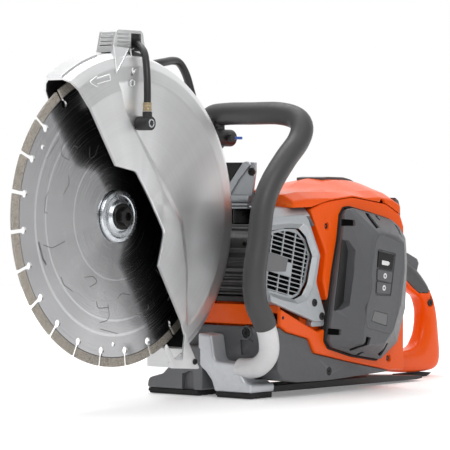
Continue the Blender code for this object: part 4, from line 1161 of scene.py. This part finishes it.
def countersunk_top():
    """The screw seat in the top cover's left wall."""
    seat = [(0, -100), (5.2, -100), (5.2, -95.0), (4.6, -94.4), (4.6, -90.2), (0, -90.2)]
    return revolve(seat, COVER_HOLE, 40)


FIELD_PLACES = (-30, -6, 18)


def field(y, half, low, high):
    """The rounded outline of one display field, across the machine and up."""
    return rounded([(y - half, low), (y + half, low), (y + half, high), (y - half, high)], 2)


def make_keypad():
    """The panel across the top rear of the body, with the power button that faces the operator."""
    outline = [(430.4, 221), (441, 214.5), (441, 227), (437, 236), (430.4, 240)]
    fields = [soft_prism(field(y, 9, 217.5, 225.5), "X", 440.2, 443) for y in FIELD_PLACES]
    piece("keypad", prism(outline, "Y", -88, 78), "dark_plastic", "machine", "keypad_panel",
          cuts=[cylinder("X", -58, 221.5, 5.3, 436, 450), merged(*fields)], bevel=1.2, steps=3)
    button = soft_prism(circle(-58, 221.5, 5.0), "X", 438, 443.2, 0, 1.2)
    piece("power_button_cap", button, "grip_rubber", "power_button", "power_button")
    for i, y in enumerate(FIELD_PLACES):
        lamp = soft_prism(field(y, 8, 218.5, 224.5), "X", 440.2, 440.9, 0, 0.3)
        piece(f"keypad_field_{i}", lamp, "screen")


def make_lower_cover():
    """The tray under the orange shells, with its front boss and screws."""
    top = [(x, z - 0.6) for x, z in reversed(SPLIT_LOW[1:])]
    outline = [(BODY_FRONT, 34), *top, (407, 22.7), (407, 21.0), (365, 19.5), (281, 17), (225, 18), (196, 23)]
    shape = rounded(outline, [6, 3.2, 6, 6, 6, 20, 0.8, 0.8, 20, 30, 30, 12])
    pocket = [
        (190, 34), (190, 95), (245, 95), (262, 58), (335, 45), (395, 38), (395, 24), (281, 20.5), (232, 22),
    ]
    boss_at = (-44, 78)
    seam = prism([(-60, 83.6), (60, 86.5), (60, 87.3), (-60, 84.4)], "X", 183, 186.8)
    recess = prism(rounded([(-49, 53), (-36, 50), (-34, 69), (-51, 69)], 2), "X", 183, 188.5)
    tray = soft_prism(shape, "Y", BODY_LEFT + 4, BODY_RIGHT - 2, 0.7, 0.7, 3)
    piece("lower_cover_shell", tray, "dark_plastic", "machine", "lower_cover",
          joins=[soft_prism(circle(*boss_at, 9), "X", 184.6, 190, 1.0, 0), lower_rib()],
          cuts=[prism(pocket, "Y", BODY_LEFT + 7.5, BODY_RIGHT - 5.5), seam, recess,
                prism(circle(*boss_at, 6.4), "X", 180, 187.4), cylinder("Y", 287, 28, 5.2, -96, -90.2)],
          bevel=0.4, clamp=True)
    screw("lower_cover_front_screw", "X", boss_at, 187.2, -1, 5.0, height=2.0)
    screw("lower_cover_side_screw", "Y", (287, 28), -90.4, -1, 4.4, height=1.2)


def lower_rib():
    """The rim round the vertical recess under the front boss."""
    return prism([(-53, 66.5), (-33, 70.5), (-33, 72.5), (-53, 68.5)], "X", 184.9, 190)


INLET = [
    (165, 219), (233, 221), (240, 214), (263, 171), (255, 138), (273, 98), (266, 89), (252, 90),
    (165, 117.5),
]
WINDOW = [(169, 197), (200, 201), (224, 200), (240, 188), (249, 170), (240, 140), (228, 126), (215, 122),
          (186, 128), (169, 132)]
# The grille's slots: their lean in degrees, pitches and half sizes, the smallest area that is kept where the
# window cuts into one, and the part of the window that the label plate covers.
GRILLE_CENTRE, GRILLE_LEAN = (206, 161), -12.0
SLOT_PITCH, ROW_PITCH, SLOT_HALF_LENGTH, SLOT_HALF_HEIGHT, SMALLEST_SLOT = 22.0, 5.4, 10.1, 2.1, 8.0
LABEL_END, LABEL_LOW, LABEL_HIGH = 207, 150, 176


def make_inlet():
    """The intake cover: a cast frame with a sunk grille, a blank label plate and its sloping top edge."""
    frame_shape = rounded(INLET, [4, 5, 4, 6, 8, 7, 5, 8, 4])
    wide = rounded([(158, 209), (200, 211), (229, 210), (239, 204), (258, 171), (247, 133), (236, 117),
                    (218, 113), (186, 119), (158, 127)], 5)
    narrow = rounded(WINDOW, 5)
    stations = ((-98.2, wide), (-89.5, narrow), (-80, narrow))
    funnel = loft([[(x, y, z) for x, z in shape] for y, shape in stations])
    inner = inset(INLET, 3)
    foot = [(254, 101), (272, 101), (274, 84), (246, 84)]
    piece("inlet_frame", soft_prism(frame_shape, "Y", -98, -66, 2.2, 0, 5), "silver_cast", "machine",
          "air_inlet_cover",
          cuts=[funnel, prism(inner, "Y", -92.5, -60), box(232, 290, -84, -60, 80, 230),
                prism([(180, 80), (290, 80), (290, 112), (180, 118)], "Y", -92.5, -60)],
          bevel=0.6)
    grille = prism(rounded(inset(WINDOW, -3), 5), "Y", -89.4, -87.6)
    piece("inlet_grille", grille, "silver_cast", "machine", "inlet_screen",
          cuts=[merged(*grille_holes())], bevel=0.15, steps=1)
    # A near-black sheet behind the grille: painted shade for the dark inside of the inlet.
    piece("inlet_shade_sheet", prism(inset(WINDOW, -4), "Y", -85.0, -84.0), "painted_shade_black", bevel=0.2)
    plate = rounded([(160, 178.5), (203, 168.5), (198.5, 152.5), (160, 154)], 1.5)
    piece("inlet_label_plate", soft_prism(plate, "Y", -95.0, -87.5, 0.8, 0), "label_grey")
    top = [(-97.0, 219.0), (-88, 228.5), (-62, 231.5), (-62, 229.5), (-86, 225.5), (-94, 217.0)]
    piece("inlet_top_flange", prism(top, "X", 168, 243), "silver_cast", bevel=0.9, steps=3)
    corner = wrapped([(236, -96.5, 219), (246, -96.5, 214), (252, -96.5, 206), (240, -88, 227),
                      (250, -88, 224), (258, -88, 206), (240, -86, 206)])
    piece("inlet_corner_cap", corner, "dark_plastic", bevel=1.0, steps=3)
    piece("inlet_lug", soft_prism(rounded(foot, 4), "Y", -95, -86, 1, 0), "silver_cast")
    screw("inlet_screw_upper", "Y", (250, 113.5), -98.0, -1, 4.8, height=1.0)
    screw("inlet_screw_lower", "Y", (264.5, 96.5), -98.0, -1, 4.8, height=1.0)


def grille_holes():
    """Slots in leaning rows, left solid where the label plate and the window's edge are."""
    c, s = math.cos(math.radians(GRILLE_LEAN)), math.sin(math.radians(GRILLE_LEAN))
    signs = ((-1, -1), (1, -1), (1, 1), (-1, 1))
    holes = []
    for row in range(-9, 10):
        for column in range(-3, 4):
            across, up = column * SLOT_PITCH, row * ROW_PITCH
            local = [(across + a * SLOT_HALF_LENGTH, up + b * SLOT_HALF_HEIGHT) for a, b in signs]
            corners = [(GRILLE_CENTRE[0] + u * c - v * s, GRILLE_CENTRE[1] + u * s + v * c) for u, v in local]
            clipped = clipped_outline(corners, WINDOW)
            middle = (sum(p[0] for p in corners) / 4, sum(p[1] for p in corners) / 4)
            behind_label = middle[0] < LABEL_END and LABEL_LOW < middle[1] < LABEL_HIGH
            if len(clipped) > 2 and not behind_label and outline_area(clipped) > SMALLEST_SLOT:
                holes.append(prism(clipped, "Y", -93, -86))
    return holes


def outline_area(outline):
    return abs(sum(a[0] * b[1] - b[0] * a[1] for a, b in zip(outline, outline[1:] + outline[:1]))) / 2


def right_of(p, a, b):
    """Whether a point is on the right of the line from a to b, which is inside a clockwise window."""
    return (b[0] - a[0]) * (p[1] - a[1]) - (b[1] - a[1]) * (p[0] - a[0]) < 0


def clipped_outline(subject, window):
    """The part of a convex outline inside the clockwise window, whose own corners are nearly convex."""
    kept = list(subject)
    for a, b in zip(window, window[1:] + window[:1]):
        found = []
        for p, q in zip(kept, kept[1:] + kept[:1]):
            if right_of(p, a, b):
                found.append(p)
            if right_of(p, a, b) != right_of(q, a, b):
                found.append(crossing(p, q, a, b))
        kept = found
    return kept


def crossing(p, q, a, b):
    p, q, a, b = Vector(p), Vector(q), Vector(a), Vector(b)
    along, edge = q - p, b - a
    t = ((a.x - p.x) * edge.y - (a.y - p.y) * edge.x) / (along.x * edge.y - along.y * edge.x)
    return tuple(p + along * t)


# ---------------------------------------------------------------- battery

DISPLAY = [(332.5, 154.5), (335.5, 175), (368, 169.5), (363.5, 149.5)]
UPPER_BUTTON = [(331.5, 139.5), (332.5, 153), (363, 148), (360.5, 134.8)]
LOWER_BUTTON = [(330, 123.5), (331.3, 138), (360, 133.3), (358, 121.5)]
BATTERY_PANEL = [(312, 81), (309, 90), (311, 107), (319, 124), (321, 133), (320, 149), (325, 170), (330, 188),
                 (337, 195), (346, 195), (366, 190), (384, 183), (389, 178), (389, 170), (382, 142),
                 (373, 94), (367, 80), (361, 71)]
# Notches in the sloping edge of the battery's cover, their floors near-black as painted shade.
BATTERY_NOTCHES = [
    [(297, 215), (313, 213), (312, 206), (297, 206)],
    [(344, 222), (351, 220), (348, 203), (338, 202), (340, 216)],
    [(364, 218), (369, 218), (369, 212), (365, 212)],
    [(402, 207), (407, 204), (400, 190), (395, 192)],
    [(270, 82), (285, 80), (284, 73), (270, 74)],
    [(306, 55), (311, 71), (320, 69), (313, 52)],
    [(326, 45), (330, 51), (335, 50), (332, 43)],
    [(362, 46), (359, 61), (371, 59), (371, 43)],
]


def battery_loops(sunk=0.0):
    """The cover's closed sections from its back to its face; sunk moves the slopes and the face inwards."""
    base, face = rounded(inset(BATTERY_BASE, 2.4), 6), rounded(BATTERY_FACE, 5)
    sections = [(-92, inset(base, 1.2)), (-98.5, inset(base, 1.2)), (-99.0, base), (-103.0, base)]
    sections.append((-104.4, inset(base, 0.9)))
    rim = inset(base, 2.2)
    for share in (0.04, 0.5, 0.9):
        blend = [(a[0] + (b[0] - a[0]) * share, a[1] + (b[1] - a[1]) * share) for a, b in zip(rim, face)]
        sections.append((-105.0 - share * 25.6, blend))
    sections += [(-130.9, inset(face, 0.8)), (-131.2, inset(face, 2.6))]
    return [[(x, min(y + sunk, -95) if y < -100 else y, z) for x, z in outline] for y, outline in sections]


def make_battery():
    """The faceted cover with its grip pocket, the cell case behind it, and the face's screen and buttons."""
    void = [(258, 99), (288, 104), (300, 112), (309, 176), (304, 188), (258, 196)]
    lip = [(258, 99), (284, 104), (293, 112), (300, 173), (298, 183), (258, 200)]
    mouth = [(258, 92), (296, 101), (303, 109), (314, 172), (312, 182), (258, 206)]
    funnel = loft([[(x, y, z) for x, z in rounded(shape, 3)] for y, shape in ((-138, mouth), (-116.5, lip))])
    seat = prism(rounded([(328, 121), (333.5, 177.5), (371, 171), (360.5, 119)], 2), "Y", -135, -130.2)
    label = rounded([(320, 89.5), (326.5, 102), (354, 96.5), (351.5, 82)], 1.5)
    notches = [prism(notch, "Y", -140, -100) for notch in BATTERY_NOTCHES]
    piece("battery_shell", loft(battery_loops()), "dark_plastic", "battery", "battery_cover",
          joins=[soft_prism(rounded(BATTERY_PANEL, 5), "Y", -132.0, -130, 0.9, 0)],
          cuts=[funnel, prism(rounded(void, 2), "Y", -116.6, -104.4), seat, merged(*notches),
                prism(label, "Y", -134, -131.5)], bevel=0.7, angle=38)
    # The notches' floors: near-black painted shade.
    fillings = mesh_object("battery_notch_shade_floors", loft(battery_loops(3.2)))
    shape_with(fillings, [], [around_shapes([inset(notch, 0.1) for notch in BATTERY_NOTCHES])])
    dress(fillings, "painted_shade_black", "battery")
    piece("battery_label", soft_prism(inset(label, 0.4), "Y", -131.9, -131.3, 0.2, 0), "label_grey",
          "battery", slot="dark_plastic")
    # A black sheet at the back of the grip pocket: painted shade.
    floor = rounded([(280, 102), (288, 105), (299, 113), (308, 175), (303, 187), (297, 190)], 2)
    piece("battery_pocket_shade_back", prism(floor, "Y", -105.2, -104.0), "black_plastic", "battery",
          bevel=0.3)
    piece("battery_screen", soft_prism(rounded(DISPLAY, 1.2), "Y", -131.8, -130.4, 0.4, 0), "screen",
          "battery", "battery_display")
    case = rounded([(297, 72), (415, 72), (424, 92), (424, 192), (412, 202), (314, 202), (300, 188)], 6)
    ribs = [prism(rounded([(x - 4, 92), (x + 4, 92), (x + 4, 184), (x - 4, 184)], 3), "Y", 34.5, 40)
            for x in range(330, 411, 20)]
    piece("battery_cell_case", soft_prism(case, "Y", -91.7, 36, 0, 3), "black_plastic", "battery",
          "battery_case", cuts=[merged(*ribs)], bevel=0.5)
    icon = rounded([(341.5, 158), (342, 163.5), (356, 161.5), (355.4, 156.3)], 1.5)
    windows = []
    for i, x in enumerate((343.4, 346.4, 349.4, 352.4)):
        drop = 0.14 * i
        bar = [(x, 159.3 - drop), (x + 0.4, 162 - drop), (x + 2.6, 161.7 - drop), (x + 2.2, 159 - drop)]
        windows.append(prism(bar, "Y", -133, -131.9))
    pole = prism([(355.4, 157.8), (355.8, 160.6), (357.6, 160.3), (357.2, 157.5)], "Y", -132.0, -131.6)
    piece("battery_icon", soft_prism(icon, "Y", -132.0, -131.6, 0.1, 0), "print", "battery",
          joins=[pole], cuts=[merged(*windows)])
    buttons = (("upper", UPPER_BUTTON, (347, 144)), ("lower", LOWER_BUTTON, (345, 129.3)))
    for name, corners, (x, z) in buttons:
        cap = soft_prism(rounded(corners, 3), "Y", -132.8, -131.4, 0.7, 0)
        piece(f"battery_button_{name}_cap", cap, "dark_plastic", f"{name}_button",
              f"battery_button_{name}")
        ring = [(1.6, -132.7), (3.4, -132.7), (3.4, -133.0), (1.6, -133.0)]
        piece(f"battery_button_{name}_ring", revolve(ring, (x, z), 32), "print", f"{name}_button")


def around_shapes(outlines):
    """A wide slab with holes of these outlines, to cut everything else away with."""
    slab = mesh_object("slab", box(230, 470, -150, -80, 0, 260))
    holes = merged(*[prism(outline, "Y", -160, -99.9) for outline in outlines])
    shape_with(slab, [], [holes])
    return taken(slab)


def taken(obj):
    """An object's mesh in design millimetres; the object goes."""
    bm = bmesh.new()
    bm.from_mesh(obj.data)
    bpy.data.objects.remove(obj)
    for vert in bm.verts:
        vert.co = vert.co / MM - SHIFT
    return bm


def make_bay():
    refined("battery_tray", "black_plastic", 0.5)


# ---------------------------------------------------------------- handles

# Matching places on the outside and the inside of the rear handle's loop.
REAR_PAIRS = [
    ((444.5, 205), (458, 162)),
    ((470, 203), (472, 163)),
    ((505, 190.5), (507, 152)),
    ((545, 165.5), (543, 131.5)),
    ((573, 152.5), (569, 118)),
    ((593, 139.5), (584, 110.5)),
    ((615.5, 116.5), (598, 103)),
    ((629.5, 92), (604.5, 86)),
    ((638, 60), (601, 66)),
    ((640, 30), (594, 49)),
    ((634, 12), (587, 41.5)),
    ((612, 6.5), (574, 37.5)),
    ((560, 7), (553, 36.5)),
    ((505, 12), (510, 36.5)),
    ((462, 15.5), (474, 39)),
    ((444.5, 22), (458, 52)),
    ((444.5, 110), (457, 108)),
]
GRIP_PAD = [(500, 212), (545, 192), (600, 162), (627, 122), (604, 111), (590, 112), (576, 119.5), (556, 132),
            (500, 168)]
LEVER_SLOT = [(529, 156), (529, 190), (612, 172), (594, 122), (580, 129), (553, 144)]
TRIGGER_SLOT = [
    (512, 146), (516, 162), (536, 160), (558, 148), (564, 137), (566, 116), (554, 100), (530, 120),
]
LEVER = [(535, 167), (547, 170), (570, 165), (591, 157), (595, 151), (590, 138), (581, 140), (552, 155.5),
         (537, 159.5)]
TRIGGER = [(515, 150), (519, 157), (532, 152), (551, 139.5), (556, 129), (549, 115.5), (540, 113.5),
           (527, 124), (518, 140)]


def closed_curve(points, per_span):
    """Points on a closed Catmull-Rom curve, the same number between each two."""
    line = [Vector(p) for p in points]
    count, dense = len(line), []
    for i in range(count):
        a, b, c, d = (line[(i + k - 1) % count] for k in range(4))
        dense += [catmull_rom(a, b, c, d, k / per_span) for k in range(per_span)]
    return dense


def smooth_step(t):
    t = min(1.0, max(0.0, t))
    return t * t * (3 - 2 * t)


def rear_loop():
    """The rear handle's ring: oval where the hand goes round it, squarer along the bottom bar."""
    outer = closed_curve([pair[0] for pair in REAR_PAIRS], 6)
    inner = closed_curve([pair[1] for pair in REAR_PAIRS], 6)
    sections = []
    for far, near in zip(outer, inner):
        middle, half = (far + near) / 2, (far - near) / 2
        power = 0.88 - 0.30 * smooth_step((60 - middle.y) / 30)
        section = []
        for k in range(32):
            c, s = math.cos(2 * math.pi * k / 32), math.sin(2 * math.pi * k / 32)
            across = middle + half * math.copysign(abs(c) ** power, c)
            section.append((across.x, REAR_HALF * math.copysign(abs(s) ** power, s), across.y))
        sections.append(section)
    return loft(sections, ring=True)


def lever_slots():
    return [prism(outline, "Y", -SLOT_HALF, SLOT_HALF) for outline in (LEVER_SLOT, TRIGGER_SLOT)]


def make_rear_handle():
    """The loop with the recess for its grip pad, and the trigger and the lockout lever in their slots."""
    seat = revolve([(0, -16), (5.4, -16), (5.4, -11.8), (0, -11.8)], HANDLE_SCREW_AT, 32)
    piece("rear_handle_loop", rear_loop(), "orange", "machine", "rear_handle",
          cuts=[prism(inset(GRIP_PAD, -0.4), "Y", -30, 30), *lever_slots(), seat], bevel=0.7, angle=55)
    pad = mesh_object("rear_grip", rear_loop())
    shape_with(pad, [], [keep_only(prism(GRIP_PAD, "Y", -60, 60))])
    dress(pad, "grip_rubber", "machine", "rear_grip_insert", cuts=lever_slots(), bevel=0.7, angle=55)
    blade = soft_prism(rounded(TRIGGER, 5), "Y", -7.3, 7.3, 2.2, 2.2)
    piece("trigger_blade", blade, "black_plastic", "trigger", "trigger", slot="dark_plastic")
    paddle = soft_prism(rounded(LEVER, 3), "Y", -7.3, 7.3, 2.0, 2.0)
    piece("lockout_paddle", paddle, "dark_plastic", "lockout", "lockout_lever")
    screw("rear_handle_screw", "Y", HANDLE_SCREW_AT, -12.3, -1, 4.6, height=1.6)
    refined("rear_foot_pad", "tread_rubber", 0.7)


def keep_only(keep):
    """The big block with a hole the shape of keep, to cut everything else away with."""
    block = mesh_object("block", box(400, 700, -50, 50, -40, 300))
    shape_with(block, [], [keep])
    return taken(block)


def front_handle_path():
    """Centre line of the front handle: right mount, over the top, down the left side, in to the left foot."""
    right = [(252, 60, 262), (251, 60, 276), (243, 60, 300), (234, 59, 324), (227, 45, 340)]
    top = [(226, 20, 343.5), (226, -20, 343.5), (226, -62, 343)]
    corner = [(229, -86, 337), (224, -99, 325), (212, -102, 308)]
    left = [(188, -102, 287), (162.5, -100.5, 258), (149, -99, 230), (142.5, -98.5, 192), (133.5, -98.5, 150)]
    low = [(136, -99, 118), (149, -100, 96), (161, -98, 74), (169, -91, 54), (171, -76, 40)]
    end = [(172.5, -58, 36), (172.5, -45, 35.5)]
    return smooth_path([*right, *top, *corner, *left, *low, *end], 5)


def nearest(path, place_at):
    """The index of the path's point nearest to a place."""
    return min(range(len(path)), key=lambda i: (path[i] - Vector(place_at)).length)


def past_end(path, end, before):
    """A point a little beyond one end of a path, so that a bore along it cuts right through."""
    return path[end] + (path[end] - path[before]).normalized() * 0.4


SLEEVE_ENDS = ((247, 60, 293), (153, -99, 88))
BORE_GAP = 0.3


def make_front_handle():
    """The tube with its sleeve, the cast mount at its right end, and the water valve clamped on it."""
    path = front_handle_path()
    first, last = (nearest(path, end) for end in SLEEVE_ENDS)
    piece("front_handle_bar", sweep(path, TUBE_R, 32), "bare_tube", "machine", "front_handle_tube")
    piece("front_handle_grip", sweep(path[first : last + 1], SLEEVE_R, 40, 1.2), "grip_rubber",
          "machine", "front_handle_sleeve")
    bracket = [(246, 226), (267, 226), (267, 284), (246, 284)]
    bore = [past_end(path, 0, 1)] + path
    slope = [(-20, 200), (-20, 272), (-8.5, 272), (-6.5, 262), (-3, 240), (-3, 200)]
    behind_plate = box(250, 280, -20, 22, 229.5, 290)
    ramp_sides = [
        (9, 284), (31, 258), (31, 246), (28.5, 245), (15.2, 262.7), (2.6, 275.4), (-3, 281), (1, 284),
    ]
    rail = soft_prism(circle(243.5, 239, 5, 32), "Y", -3, 58, 1, 1)
    fins = [box(236.4, 246, -4, 58, z, z + 2.6) for z in (226.6, 230.6)]
    piece("front_handle_mount", prism(rounded(bracket, [2, 2, 5, 2]), "Y", -8.5, 76), "silver_cast",
          "machine", "handle_bracket",
          joins=[prism(ramp_sides, "X", 243.2, 247), rail],
          cuts=[sweep(bore, TUBE_R + BORE_GAP, 32), behind_plate, prism(slope, "X", 200, 300)],
          bevel=1.0, steps=3)
    # A near-black sheet in the gap behind the mount: painted shade.
    piece("mount_shade_sheet", box(262.5, 264, -84, 45, 206.5, 228.5), "painted_shade_black", bevel=0.3)
    piece("front_handle_mount_fins", merged(*fins), "silver_cast", bevel=0.6)
    screw("mount_screw", "X", (-3.6, 272.4), 246.0, -1, 5.0, height=2.2)
    corner = [(11.5, 283.6), (33, 258), (52, 258), (52, 283.6)]
    piece("mount_rubber", prism(corner, "X", 244.4, 246), "tread_rubber", bevel=0.5)
    body = soft_prism(circle(30, 314, 10.5), "X", 214, 246, 1.5, 1.5)
    band = [p for p in path if 300 <= p.z <= 316 and p.y > 40]
    piece("water_valve_body", body, "black_plastic", "machine", "water_valve",
          joins=[cylinder("X", 33, 331, 5.2, 214.6, 226), box(219, 233, 29, 37, 318, 332),
                 sweep(band, SLEEVE_R + 3.2, 40), box(228, 240, 34, 52, 304, 314)],
          cuts=[sweep(path, SLEEVE_R + 0.2, 40)], bevel=0.6)
    arm = rounded([(233.2, 312.2), (250, 312.2), (250, 315.8), (233.2, 315.8)], 1.6)
    piece("valve_handle", soft_prism(arm, "Y", 14.4, 17.6, 0.7, 0.7), "blue", "valve_lever",
          "valve_lever")
    piece("valve_hub", soft_prism(circle(229, 314, 5), "Y", 13, 19.2, 0.9, 0.9), "black_plastic",
          "valve_lever", bevel=0.3)


# ---------------------------------------------------------------- feet

# Both feet from their front to their rear face, and the step over which the body stands on them.
FOOT_X = (162, 206)
FOOT_STEP = (185.5, 215, -80, 110, 22, 95)


def make_feet():
    """The left foot, which the front handle ends in, the right foot, their rubber pads and the rail."""
    path = front_handle_path()
    bore = path + [past_end(path, -1, -2)]
    left = [(13, 77), (13, 38), (1, 30), (-8, 20), (-13, 7), (-70, 7), (-70, 17), (-61, 18.5), (-53, 30),
            (-48, 41.5), (-13, 44), (-8, 75)]
    corners = [3.3, 4, 3.3, 10, 3.3, 4, 3.3, 10, 5, 6, 9, 4]
    casting = soft_prism(rounded(left, corners), "X", *FOOT_X, 3.0, 0, 5)
    piece("front_foot_left_casting", casting, "foot_silver", "machine", "front_foot_left",
          cuts=[box(*FOOT_STEP), sweep(bore, TUBE_R + BORE_GAP, 32)], bevel=0.5, clamp=True)
    right = [(7, 7), (95, 7), (93, 19), (70, 25), (60, 34), (50, 60), (7, 60)]
    casting = soft_prism(rounded(right, [3, 3, 8, 8, 8, 6, 4]), "X", *FOOT_X, 2.0, 0, 4)
    notch = prism([(20, 2), (38, 2), (38, 26), (26, 30), (20, 30)], "X", 150, 168)
    piece("front_foot_right_casting", casting, "grey_cast", "machine", "front_foot_right",
          cuts=[box(*FOOT_STEP), notch], bevel=0.5, clamp=True)
    for name in ("left", "right"):
        refined(f"foot_pad_{name}", "tread_rubber", 0.5)
    refined("skid_rail", "black_plastic", 1.0)


# ---------------------------------------------------------------- studio


def add_area_light(name, at, toward, size, power):
    data = bpy.data.lights.new(name, "AREA")
    data.shape = "RECTANGLE"
    data.size, data.size_y = size
    data.energy = power
    lamp = bpy.data.objects.new(name, data)
    SCENE.collection.objects.link(lamp)
    lamp.location = at
    lamp.rotation_euler = (Vector(toward) - Vector(at)).to_track_quat("-Z", "Y").to_euler()


def make_studio():
    make_floor()
    make_world()
    add_area_light("key", (-1.3, -1.5, 1.7), (0, 0, 0.2), (1.2, 1.2), 17)
    add_area_light("strip", (1.6, -1.9, 0.9), (0, 0, 0.25), (0.25, 1.6), 1.0)
    add_area_light("top", (0.2, 0.5, 2.0), (0, 0, 0.1), (1.8, 1.0), 18)
    SCENE.view_settings.view_transform = "Standard"


FLOOR_RADIUS, FLOOR_Z = 3.2, -0.0005


def make_floor():
    """A pale disc just under the feet that glows more away from the object, into the white behind it."""
    bm = bmesh.new()
    bmesh.ops.create_circle(bm, cap_ends=True, segments=96, radius=FLOOR_RADIUS)
    mesh = bpy.data.meshes.new("studio_floor")
    bm.to_mesh(mesh)
    bm.free()
    floor = bpy.data.objects.new("studio_floor", mesh)
    SCENE.collection.objects.link(floor)
    floor.location.z = FLOOR_Z
    tree, shader = new_look("floor")
    where = node(tree, "TexCoord").outputs["Object"]
    tone = ramp(tree, fractal(tree, where, 3.0), (0.3, (0.86, 0.86, 0.86)), (0.7, (0.88, 0.88, 0.88)))
    tree.links.new(tone, shader.inputs["Base Color"])
    shader.inputs["Roughness"].default_value = 0.6
    shader.inputs["Emission Color"].default_value = (1, 1, 1, 1)
    away = node(tree, "VectorMath", {0: where}, operation="LENGTH").outputs["Value"]
    tree.links.new(mapped(tree, away, 0.2, 0.8, 0.35, 1.8), shader.inputs["Emission Strength"])
    mesh.materials.append(LOOKS["floor"])


# The horizontal direction from the camera to the object, which the bright side of the room lies in.
BEHIND_OBJECT = (0.77, 0.64, 0.0)


def make_world():
    """White behind the object; what lights it is a softer room, brighter overhead than at the sides."""
    world = bpy.data.worlds.new("studio")
    SCENE.world = world
    world.use_nodes = True
    tree = world.node_tree
    tree.nodes.clear()
    way = node(tree, "TexCoord").outputs["Generated"]
    height = node(tree, "SeparateXYZ", {"Vector": way}).outputs["Z"]
    room = ramp(tree, mapped(tree, height, 0.0, 1.0, -1.0, 1.0), (0.0, (0.24,) * 3), (0.5, (0.24,) * 3),
                (0.62, (0.36,) * 3), (1.0, (0.90,) * 3))
    inputs = {0: way, 1: BEHIND_OBJECT}
    facing = node(tree, "VectorMath", inputs, operation="DOT_PRODUCT").outputs["Value"]
    room = blended(tree, mapped(tree, facing, 0.0, 1.0, 0.15, 0.75), room, (1.15, 1.15, 1.15, 1.0))
    dim = node(tree, "Background", {"Color": room, "Strength": 1.0}).outputs["Background"]
    white = node(tree, "Background", {"Color": (1, 1, 1, 1), "Strength": 1.0}).outputs["Background"]
    seen = node(tree, "LightPath").outputs["Is Camera Ray"]
    mixed = node(tree, "MixShader", {0: seen, 1: dim, 2: white}).outputs["Shader"]
    node(tree, "OutputWorld", {"Surface": mixed})


CAMERA_AZIMUTH, CAMERA_PITCH = -50.349, 1.070
CAMERA_TARGET, CAMERA_DISTANCE, CAMERA_LENS, SENSOR_WIDTH = (198.2, 0, 207.3), 3.3, 216.35, 36.0


def make_camera():
    """A long lens at the battery side's front corner, just above the level of the arbor."""
    turn, pitch = math.radians(CAMERA_AZIMUTH), math.radians(CAMERA_PITCH)
    forward = Vector((-math.sin(turn) * math.cos(pitch), math.cos(turn) * math.cos(pitch), -math.sin(pitch)))
    data = bpy.data.cameras.new("camera")
    data.sensor_width = SENSOR_WIDTH
    data.lens = CAMERA_LENS
    camera = bpy.data.objects.new("camera", data)
    SCENE.collection.objects.link(camera)
    camera.location = (Vector(CAMERA_TARGET) + SHIFT) * MM - forward * CAMERA_DISTANCE
    camera.rotation_euler = forward.to_track_quat("-Z", "Y").to_euler()
    SCENE.camera = camera


make_looks()
make_studio()
make_camera()
dress_inner_nodes()
make_blade()
make_arbor()
make_guard()
make_water()
make_drive()
make_left_housing()
make_right_housing()
make_top_cover()
make_keypad()
make_lower_cover()
make_inlet()
make_battery()
make_bay()
make_rear_handle()
make_front_handle()
make_feet()
